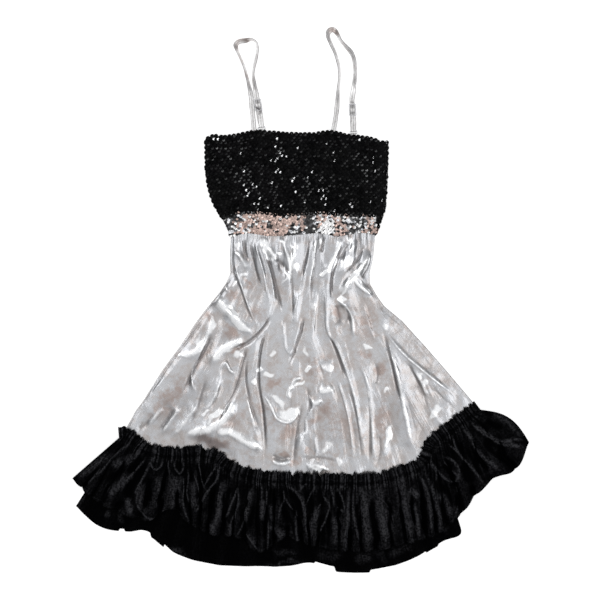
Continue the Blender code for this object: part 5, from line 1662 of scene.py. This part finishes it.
def sequin_rows(surface, outward, sizes, starts, seed, tilt, loose, scale=1.0):
    """Places and turns of overlapping sequins in rows over a grid surface."""
    luck = np.random.default_rng(seed)
    grids = surface, normals_of(surface) * outward, np.gradient(surface, axis=0)
    fall = np.linalg.norm(np.diff(surface, axis=0), axis=2).sum(0).mean()
    pitch_down, pitch_across = scale * sizes.sequin_row_pitch / MM, scale * sizes.sequin_pitch / MM
    first, last = starts
    count = int(round(fall * (last - first) / pitch_down)) + 1
    places, facing = [], []
    for row in range(count):
        at = (first + (last - first) * row / max(count - 1, 1)) * (len(surface) - 1)
        i = min(int(at), len(surface) - 2)
        share = at - i
        line, normal, down = (g[i] * (1 - share) + g[i + 1] * share for g in grids)
        run = run_along(line)
        spaces = int(round((run[-1] - 1) / pitch_across))
        at_run = (np.arange(spaces) + ROW_STARTS[row % 2]) * run[-1] / spaces
        for here in at_run + luck.normal(0, SEQUIN_DRIFT, spaces):
            lean, roll = -tilt + luck.normal(0, loose), luck.normal(0, loose)
            places.append(between(here, run, line))
            facing.append(sequin_turn(between(here, run, down), between(here, run, normal), lean, roll))
    places = np.array(places) + luck.normal(0, SEQUIN_SCATTER, (len(places), 3)) * [1, 1, 0]
    return places, np.array(facing)


def facing_lamp(place):
    """Turn of a sequin that sends the lamp's light straight up."""
    to_lamp = (Vector(LAMP_PLACE) - Vector(place) * MM).normalized()
    normal = (to_lamp + Vector((0, 0, 1))).normalized()
    return tuple(normal.to_track_quat("Z", "Y").to_euler())


def sequin_piece(name, rows, tree, sizes, glints=(), tones=None, seed=1, scale=1.0):
    """Sequins on every place of the rows, the lit ones turned to the lamp and given a painted lit crescent.
    """
    places, facing = rows
    count = len(places)
    luck = np.random.default_rng(seed)
    lit = np.zeros(count)
    for x, y in glints:
        nearest = int(np.argmin(np.hypot(places[:, 0] - x, places[:, 1] - y)))
        lit[nearest] = 1
        facing[nearest] = facing_lamp(places[nearest])
    points = {"place": places, "facing": facing, "size": luck.normal(scale, 0.03, count)}
    if tones is None:
        # Faint painted glints on the black sequins, more where the bodice shimmers
        shimmer = 0.22 + spots(places[:, 0], places[:, 1], BODICE_SHIMMER)
        points["glint"] = np.maximum(lit, 0.27 * shimmer * luck.random(count) ** 5)
        cup = sizes.sequin_cup
    else:
        points["tone"] = tones(places, luck)
        # A few faint painted glints, besides the lit crescents of the sequins listed
        points["glint"] = np.maximum(lit, (luck.random(count) < 0.03) * 0.3)
        cup = sizes.sequin_cup * 0.5
    settings = {"Diameter": sizes.sequin_diameter, "Hole": sizes.sequin_hole, "Cup": cup}
    return node_mesh(name, points, tree, settings)


def band_tones(places, luck):
    """Tone of each waistband sequin, rosy, dark, white or silver in runs across the band."""
    across, count = places[:, 0], len(places)
    mix = [np.interp(across, BAND_RUNS["x"], BAND_RUNS[k]) for k in ("rosy", "dark", "white")]
    for x, y, radius, *strengths in BAND_SPOTS:
        near = rising(1.3, 0.7, np.hypot(across - x, places[:, 1] - y) / radius)
        mix = [part * (1 - near) + near * strength for part, strength in zip(mix, strengths)]
    rosy, dark, white = mix
    pick = luck.random(count)
    colours = bpy.context.scene.dress_colours
    tones = np.tile(colours.silver, (count, 1)).astype(float)
    tones *= np.where(luck.random((count, 1)) < 0.5, 1.4, 0.25)
    rose = np.array(colours.band) * luck.uniform(0.75, 1.6, (count, 1))
    tones = np.where((pick < rosy)[:, None], rose, tones)
    is_dark = luck.random(count) < dark
    tones = np.where(is_dark[:, None], luck.uniform(0.01, 0.1, (count, 1)), tones)
    tones = np.where((luck.random(count) < white)[:, None], 0.95, tones)
    return np.clip(tones, 0, 1)


def shirred(middle, thick, lift):
    """Upper and lower faces of a shirred backing about the middle of its wall."""
    t, s = shares_of(middle.shape)
    ripple = 0.12 * np.sin(2 * np.pi * t * len(middle) / 5) + 0.1 * ripples(s, t, (41, 67), 3)
    normal = normals_of(middle)
    upper = middle + normal * (lift + thick / 2 + ripple[..., None])
    return upper, middle + normal * (lift - thick / 2)


def build_bodice(sizes):
    """Bodice: a stretch backing front and back, covered in rows of black sequins."""
    slot, backing = "black_sequin", the_look("black_backing")
    tree = sequin_tree("Black Sequins", the_look("black_sequins"))
    front = front_panel(BODICE_GRID, BODICE_TOP, BAND_TOP)
    layers = shirred(front, thick=1.0, lift=-0.3)
    cloth_piece("bodice_front", layers, {}, backing)
    lifted = front + [0, 0, BODICE_SEQUIN_LIFT]
    rows = sequin_rows(lifted, 1, sizes, starts=(0.005, 1.0), seed=21, tilt=12, loose=6)
    sequin_piece("bodice_front_sequins", rows, tree, sizes, BODICE_GLINTS)
    back = back_panel(BODICE_GRID)
    upper, lower = shirred(back, thick=0.8, lift=0.35)
    lower[..., 2] = np.maximum(lower[..., 2], BACKING_LOWEST)
    cloth_piece("bodice_back", (upper, lower), {}, backing)
    under = back - normals_of(back) * BACK_SEQUIN_DROP
    places, facing = sequin_rows(under, -1, sizes, starts=(0.01, 0.985), seed=22, tilt=3, loose=1)
    lying = places[:, 2] < LYING_HEIGHT
    places[:, 2] = np.where(lying, UNDER_SEQUINS, places[:, 2])
    facing = np.where(lying[:, None], FACE_DOWN, facing)
    upright = np.array([math.hypot(*Euler(turn).to_matrix().col[2][:2]) for turn in facing])
    places[:, 2] = np.maximum(places[:, 2], upright * sizes.sequin_diameter / MM / 2 + UNDER_SEQUINS)
    sequin_piece("bodice_back_sequins", (places, facing), tree, sizes, ROLL_GLINTS)


def build_band(sizes):
    """Waistband: the same backing under silver and rosy sequins."""
    slot, backing = "silver_sequin", the_look("band_backing")
    tree = sequin_tree("Silver Sequins", the_look("silver_sequins"))
    lowered = dict(BAND_TOP, y=BAND_TOP["y"] - SEAM)
    front = front_panel(BAND_GRID, lowered, BAND_BOTTOM)
    layers = shirred(front, thick=1.0, lift=-0.3)
    cloth_piece("band_front", layers, {}, backing)
    small = sizes.band_sequin_share
    lifted = front + [0, 0, BAND_SEQUIN_LIFT]
    rows = sequin_rows(lifted, 1, sizes, starts=(0.02, 0.95), seed=23, tilt=7, loose=6, scale=small)
    sequin_piece("band_front_sequins", rows, tree, sizes, BAND_GLINTS, band_tones, 1, small)
    back = band_back_panel(BAND_GRID)
    cloth_piece("band_back", shirred(back, thick=0.7, lift=0.5), {}, backing)
    under = back * [1, 1, 0] + [0, 0, UNDER_SEQUINS]
    places, _ = sequin_rows(under, -1, sizes, starts=(0.15, 0.85), seed=24, tilt=2, loose=1)
    rows = places, np.tile(FACE_DOWN, (len(places), 1))
    sequin_piece("band_back_sequins", rows, tree, sizes, (), band_tones, 5)


def fitting_frame(where):
    """Place of the slider, unit directions down the strap and across it, and the way to the ring."""
    slider, ring = np.array(FITTINGS[where]["slider"]), np.array(FITTINGS[where]["ring"])
    reach = np.linalg.norm(ring - slider)
    down = np.array([*(ring - slider) / reach, 0])
    return np.array([*slider, 0]), down, np.cross([0, 0, 1], down), reach


def ring_turn(centre_down, centre_height, angles):
    """Points of a strap that turns round a bar, as distance down the strap and height."""
    a = np.radians(angles)
    return centre_down + TURN_RADIUS * np.sin(a), centre_height + TURN_RADIUS * np.cos(a)


def strap_line(where, route):
    """Centres and widths of one strap: over the shoulder, through its slider and round its ring."""
    slider, down, across, reach = fitting_frame(where)
    shares = np.linspace(0, 1, 161)
    x, y = along(route, shares)
    tilt = np.radians(through(run_of(route), route["tilt"], shares))
    z = (STRAP_WIDTH * np.sin(tilt) + STRAP_THICK * np.cos(tilt)) / 2
    z += STRAP_AT_FRONT * rising(0.16, 0, shares)
    run = unit(np.gradient(np.dstack([x, y])[0], axis=0))
    level = np.stack([-run[:, 1], run[:, 0], np.zeros(len(x))], axis=1)
    widths = level * np.cos(tilt)[:, None] + UP * np.sin(tilt)[:, None]
    widths *= -np.sign(widths[-1] @ across)
    turn = ring_turn(reach, BAR_HEIGHT, np.linspace(0, 180, TURN_STEPS))
    loop = ring_turn(0, SLIDER_HEIGHT, np.linspace(200, 350, TURN_STEPS))
    profile = [
        (STRAP_WEAVE["down"], STRAP_WEAVE["height"], STRAP_WEAVE["side"]),
        (reach - RING_UPPER["before"], RING_UPPER["height"], RING_UPPER["side"]),
        (*turn, np.zeros(TURN_STEPS)),
        (reach - RING_LOWER["before"], RING_LOWER["height"], RING_LOWER["side"]),
        (LOOP_END["down"], LOOP_END["height"], LOOP_END["side"]),
        (*loop, np.zeros(TURN_STEPS)),
    ]
    u, h, lateral = (np.concatenate(column) for column in zip(*profile))
    woven = slider + u[:, None] * down + lateral[:, None] * across + h[:, None] * UP
    centres = np.concatenate([np.stack([x, y, z], axis=1), woven])
    return centres, np.concatenate([widths, np.tile(-across, (len(u), 1))])


def tab_line(where):
    """Centres and widths of the tab that holds a ring to the back of the bodice."""
    slider, down, across, reach = fitting_frame(where)
    low_bar = reach + RING_PITCH
    low_x, low_y, _ = slider + down * low_bar
    tail = (low_y - edge_at(BODICE_TOP, np.array([low_x]))[0] - SEAM) / abs(down[1])
    u, h = ring_turn(low_bar, BAR_HEIGHT, np.linspace(0, -180, TURN_STEPS))
    u = np.concatenate([[low_bar + tail], u, [low_bar + tail]])
    h = np.concatenate([[TAB_ENDS[0]], h, [TAB_ENDS[1]]])
    return slider + u[:, None] * down + h[:, None] * UP, np.tile(across, (len(u), 1))


def tape_piece(name, centres, across, node, groove):
    """Flat folded tape along a line, with its two layers pressed apart by a groove along the middle."""
    steps = run_along(centres)
    at = np.linspace(0, steps[-1], int(steps[-1] / TAPE_STEP) + 2)
    centres, across = between(at, steps, centres), between(at, steps, across)
    run = unit(np.gradient(centres, axis=0))
    across = unit(across - run * (across * run).sum(1, keepdims=True))
    face = np.cross(across, run)
    lowest = np.abs(across[:, 2]) * STRAP_WIDTH / 2 + np.abs(face[:, 2]) * STRAP_THICK / 2
    centres[:, 2] = np.maximum(centres[:, 2], lowest)
    a = np.linspace(0, 2 * np.pi, TAPE_SIDES, endpoint=False)
    wide = STRAP_WIDTH / 2 * np.sign(np.cos(a)) * np.abs(np.cos(a)) ** 0.7
    dip = np.exp(-((wide / 0.9) ** 2))
    thick = STRAP_THICK / 2 * np.sign(np.sin(a)) * np.abs(np.sin(a)) ** 0.5 * (1 - groove * dip)
    narrow = 1 - 0.05 * np.sin(at / 9.0) - 0.04 * np.sin(at / 3.7 + 1)
    points = centres[:, None] + across[:, None] * (wide[:, None] * narrow[:, None, None])
    points = points + face[:, None] * thick[:, None]
    rows = len(points)
    index = np.arange(rows * TAPE_SIDES).reshape(rows, TAPE_SIDES)
    ahead = np.roll(index, -1, axis=1)
    quads = np.stack([index[:-1], index[1:], ahead[1:], ahead[:-1]], axis=-1).reshape(-1, 4)
    ends = [np.array([index[0]]), np.array([index[-1][::-1]])]
    t, s = grid(at, np.arange(TAPE_SIDES) * 2 * STRAP_WIDTH / TAPE_SIDES)
    # Painted shade in the groove and along the edges, which together with the slit shadows makes the groove
    # mark
    edge = rising(0.6, 0.95, np.abs(wide) * 2 / STRAP_WIDTH)
    pressed = np.tile(np.maximum(0.6 * dip, 0.8 * edge), rows)
    uv = np.dstack([s, t]).reshape(-1, 2)
    flat = points.reshape(-1, 3)
    slit_shadows = np.clip(spots(flat[:, 0], flat[:, 1], STRAP_SLIT_SHADOWS), 0, 1)
    marks = {"groove": np.maximum(pressed, slit_shadows), "patch": spots(flat[:, 0], flat[:, 1], STRAP_PATCHES)}
    return mesh_piece(name, flat, [quads, *ends], uv, marks, the_look("silver_strap"), node)


def build_straps(sizes):
    """Both straps and the tabs that hold their rings."""
    for where, route in (("left", LEFT_STRAP), ("right", RIGHT_STRAP)):
        tape_piece(f"strap_{where}_tape", *strap_line(where, route), f"strap_{where}", sizes.strap_groove)
        tape_piece(f"tab_{where}_tape", *tab_line(where), f"tab_{where}", sizes.strap_groove)


def finish_fittings(sizes):
    """Rounds the edges of the sliders and rings and plates them."""
    for name in ("slider_left", "slider_right", "ring_left", "ring_right"):
        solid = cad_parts[name]
        weld = solid.modifiers.new("Weld", "WELD")
        weld.merge_threshold = 1e-5
        bevel = solid.modifiers.new("Bevel", "BEVEL")
        bevel.width = sizes.wire_rounding
        bevel.segments = 3
        for slot in solid.material_slots:
            slot.material = the_look("plated_wire")


def sheet_row(name, columns, row, lift):
    """Points along one row of a finished cloth piece, lifted off it, in millimetres."""
    mesh = bpy.data.objects[name].data
    places = np.empty(len(mesh.vertices) * 3, np.float32)
    mesh.vertices.foreach_get("co", places)
    line = places.reshape(-1, 3)[row * columns : (row + 1) * columns].astype(float) / MM
    return line + [0, 0, lift]


def build_stitches(sizes):
    """Rows of stitching along the ruffle's header and its hems."""
    tree = stitch_tree("Stitching", the_look("black_thread"))
    gap = sizes.stitch_length * STITCH_GAP_SHARE
    settings = {"Stitch": sizes.stitch_length, "Gap": gap, "Thread": THREAD}
    rows = (
        ("header_stitches", "ruffle_front_cloth", RUFFLE_GRID[1], HEADER_ROWS - 2),
        ("front_hem_stitches", "ruffle_front_cloth", RUFFLE_GRID[1], RUFFLE_GRID[0] - 4),
        ("back_hem_stitches", "ruffle_back_cloth", RUFFLE_BACK_GRID[1], RUFFLE_BACK_GRID[0] - 3),
    )
    for name, cloth, columns, row in rows:
        line = sheet_row(cloth, columns, row, STITCH_LIFT)[UNSEWN_POINTS:-UNSEWN_POINTS]
        edges = [(i, i + 1) for i in range(len(line) - 1)]
        node_mesh(name, {"place": line}, tree, settings, edges)


def build_stage(colours):
    """A pale floor, soft studio light and a camera that looks straight down."""
    scene = bpy.context.scene
    scene.view_settings.view_transform = "Standard"
    corners = [(x * FLOOR_HALF, y * FLOOR_HALF, 0) for x, y in ((-1, -1), (1, -1), (1, 1), (-1, 1))]
    floor_mesh = bpy.data.meshes.new("floor")
    floor_mesh.from_pydata(corners, [], [(0, 1, 2, 3)])
    floor = placed_object("floor", floor_mesh)
    look, tree, shader = new_look("pale_floor", colours.floor)
    paper = noise(tree, own_place(tree), PAPER_GRAIN, 3.0)
    glow = {"Emission Color": (1, 1, 1, 1), "Emission Strength": FLOOR_GLOW}
    feed(tree, shader, {"Base Color": opaque(colours.floor), "Roughness": 0.9, **glow})
    bumped(tree, shader, paper, 0.1, 0.0002)
    floor_mesh.materials.append(look)
    world = bpy.data.worlds.new("studio")
    scene.world = world
    world.use_nodes = True
    sky = world.node_tree
    way = add(sky, "ShaderNodeTexCoord").outputs["Generated"]
    height = add(sky, "ShaderNodeSeparateXYZ", {0: way}).outputs["Z"]
    overhead = sums(sky, "POWER", sums(sky, "MAXIMUM", height, 0.0), GLOW_FALL)
    soft = mixed(sky, overhead, [SIDE_GLOW] * 3, [TOP_GLOW] * 3)
    seen = add(sky, "ShaderNodeLightPath").outputs["Is Camera Ray"]
    feed(sky, sky.nodes["Background"], {"Color": mixed(sky, seen, soft, [SEEN_GLOW] * 3)})
    for name, place, size, watts in LAMPS:
        light = bpy.data.lights.new(name, "AREA")
        light.size = size
        light.energy = watts
        lamp = placed_object(name, light)
        lamp.location = place
        lamp.rotation_euler = (-Vector(place)).to_track_quat("-Z", "Y").to_euler()
    camera_data = bpy.data.cameras.new("camera")
    camera_data.lens = LENS
    camera_data.sensor_width = SENSOR
    camera_data.clip_end = CAMERA_REACH
    camera = placed_object("camera", camera_data)
    camera.location = (0, 0, PICTURE_WIDTH * MM * LENS / SENSOR)
    scene.camera = camera


def length_setting(name, description, default):
    """A size of the dress, in metres."""
    return FloatProperty(name=name, description=description, default=default, unit="LENGTH")


def share_setting(name, description, default, lowest=0):
    """A number or share of the dress."""
    return FloatProperty(name=name, description=description, default=default, min=lowest)


def colour_setting(name, description, *default):
    """A colour of the dress."""
    return FloatVectorProperty(name=name, description=description, default=default, subtype="COLOR")


class DressSizes(bpy.types.PropertyGroup):
    """Sizes of the dress's finer parts"""

    sequin_diameter: length_setting("Sequin Diameter", "Width of each sequin", 0.0069)
    sequin_hole: length_setting("Sequin Hole", "Width of the hole that it is sewn by", 0.0011)
    sequin_cup: length_setting("Sequin Cup", "Height of a sequin's rim over its middle", 0.0006)
    band_sequin_share: share_setting(
        "Band Sequin Share", "Size of the waistband's sequins against the bodice's", 0.68
    )
    sequin_pitch: length_setting("Sequin Spacing", "From one sequin to the next in a row", 0.0067)
    sequin_row_pitch: length_setting("Row Spacing", "From one row of sequins to the next", 0.0041)
    waist_gathers: share_setting("Waist Gathers", "Small gathers across the waist seam", 48.0, 1)
    crease_depth: share_setting("Crease Depth", "Depth of the skirt's creases, 1 as measured", 1.0)
    gather_pitch: share_setting(
        "Ruffle Gathers", "Millimetres from one gather of the header to the next", 5.6
    )
    strap_groove: share_setting("Strap Groove", "Depth of the groove down a strap, as a share", 0.45)
    wire_rounding: length_setting("Wire Rounding", "Rounding of the fittings' edges", 0.00035)
    stitch_length: length_setting("Stitch Length", "Length of one stitch", 0.0024)


class DressColours(bpy.types.PropertyGroup):
    """Colours of the dress and its floor"""

    silver: colour_setting("Silver", "Foil face of the skirt and straps", 0.575, 0.585, 0.612)
    # Rose is the tone of the silver cloth where the painted crest sheen is low, and the straps' rosy tint
    rose: colour_setting("Rose", "Silver cloth between its folds", 0.51, 0.482, 0.474)
    # The patch colour tints the skirt's patches, the darkest of them painted shade, and the rosy parts of
    # the straps
    patch: colour_setting("Patch", "Worn patches of the silver cloth", 0.43, 0.355, 0.33)
    strap: colour_setting("Straps", "Silver tape of the straps", 0.97, 0.965, 0.965)
    # The crease colour is painted shade, in the skirt's creases and in the straps' grooves, edges and slit
    # shadows
    crease: colour_setting("Crease", "Bottom of the skirt's creases", 0.12, 0.11, 0.115)
    # The gleam colour is a painted highlight, on the skirt, on the sequins' lit crescents and on the
    # straps' creases
    gleam: colour_setting("Gleam", "Silver turned to the light", 0.97, 0.98, 1.0)
    sequin: colour_setting("Black Sequins", "Sequins of the bodice", 0.0007, 0.0007, 0.0009)
    band: colour_setting("Rosy Sequins", "Sequins of the waistband", 0.54, 0.405, 0.36)
    # Satin is the ruffle's colour where it is painted dark; satin sheen is its painted sheen, and also the
    # painted shade at the rims of the silver sequins
    satin: colour_setting("Satin", "Ruffle in its folds", 0.0004, 0.0004, 0.0006)
    satin_sheen: colour_setting("Satin Crest", "Ruffle along its crests", 0.026, 0.026, 0.03)
    fitting: colour_setting("Fittings", "Plated sliders and rings", 0.62, 0.62, 0.64)
    floor: colour_setting("Floor", "Studio floor", 0.9, 0.9, 0.9)


class DRESS_OT_bodice(bpy.types.Operator):
    """Build the bodice's backing and its black sequins"""

    bl_idname = "dress.bodice"
    bl_label = "Bodice"

    def execute(self, context):
        build_bodice(context.scene.dress_sizes)
        return {"FINISHED"}


class DRESS_OT_waistband(bpy.types.Operator):
    """Build the waistband's backing and its silver and rosy sequins"""

    bl_idname = "dress.waistband"
    bl_label = "Waistband"

    def execute(self, context):
        build_band(context.scene.dress_sizes)
        return {"FINISHED"}


class DRESS_OT_skirt(bpy.types.Operator):
    """Build the front and back of the gathered silver skirt"""

    bl_idname = "dress.skirt"
    bl_label = "Skirt"

    def execute(self, context):
        build_skirt_front(context.scene.dress_sizes, the_look("silver_cloth"))
        build_skirt_back(context.scene.dress_sizes, the_look("silver_cloth"))
        return {"FINISHED"}


class DRESS_OT_ruffle(bpy.types.Operator):
    """Build the front and back of the black ruffle"""

    bl_idname = "dress.ruffle"
    bl_label = "Ruffle"

    def execute(self, context):
        build_ruffle_front(context.scene.dress_sizes, the_look("black_satin_cloth"))
        build_ruffle_back(context.scene.dress_sizes, the_look("black_satin_cloth"))
        return {"FINISHED"}


class DRESS_OT_straps(bpy.types.Operator):
    """Build the straps and the tabs that hold their rings"""

    bl_idname = "dress.straps"
    bl_label = "Straps"

    def execute(self, context):
        build_straps(context.scene.dress_sizes)
        return {"FINISHED"}


class DRESS_OT_fittings(bpy.types.Operator):
    """Round and plate the sliders and rings"""

    bl_idname = "dress.fittings"
    bl_label = "Fittings"

    def execute(self, context):
        finish_fittings(context.scene.dress_sizes)
        return {"FINISHED"}


class DRESS_OT_stitches(bpy.types.Operator):
    """Sew the stitching along the ruffle"""

    bl_idname = "dress.stitches"
    bl_label = "Stitches"

    def execute(self, context):
        build_stitches(context.scene.dress_sizes)
        return {"FINISHED"}


class DRESS_OT_stage(bpy.types.Operator):
    """Set up the floor, the light and the camera"""

    bl_idname = "dress.stage"
    bl_label = "Stage"

    def execute(self, context):
        build_stage(context.scene.dress_colours)
        return {"FINISHED"}


class DRESS_PT_panel(bpy.types.Panel):
    """Sizes, colours and pieces of the dress"""

    bl_label = "Sequin Mini Dress"
    bl_idname = "DRESS_PT_panel"
    bl_space_type = "VIEW_3D"
    bl_region_type = "UI"
    bl_category = "Dress"

    def draw(self, context):
        layout = self.layout
        for piece in PIECES:
            layout.operator(piece.bl_idname)
        for group in (context.scene.dress_sizes, context.scene.dress_colours):
            box = layout.box()
            for name in group.bl_rna.properties.keys():
                if name not in ("rna_type", "name"):
                    box.prop(group, name)


PIECES = (
    DRESS_OT_stage,
    DRESS_OT_bodice,
    DRESS_OT_waistband,
    DRESS_OT_skirt,
    DRESS_OT_ruffle,
    DRESS_OT_straps,
    DRESS_OT_fittings,
    DRESS_OT_stitches,
)


def register():
    for kind in (DressSizes, DressColours, *PIECES, DRESS_PT_panel):
        bpy.utils.register_class(kind)
    bpy.types.Scene.dress_sizes = PointerProperty(type=DressSizes)
    bpy.types.Scene.dress_colours = PointerProperty(type=DressColours)


def unregister():
    del bpy.types.Scene.dress_colours
    del bpy.types.Scene.dress_sizes
    for kind in reversed((DressSizes, DressColours, *PIECES, DRESS_PT_panel)):
        bpy.utils.unregister_class(kind)


def main():
    """Builds the whole dress and its stage."""
    register()
    bpy.ops.dress.stage()
    bpy.ops.dress.bodice()
    bpy.ops.dress.waistband()
    bpy.ops.dress.skirt()
    bpy.ops.dress.ruffle()
    bpy.ops.dress.straps()
    bpy.ops.dress.fittings()
    bpy.ops.dress.stitches()


if __name__ == "__main__":
    main()
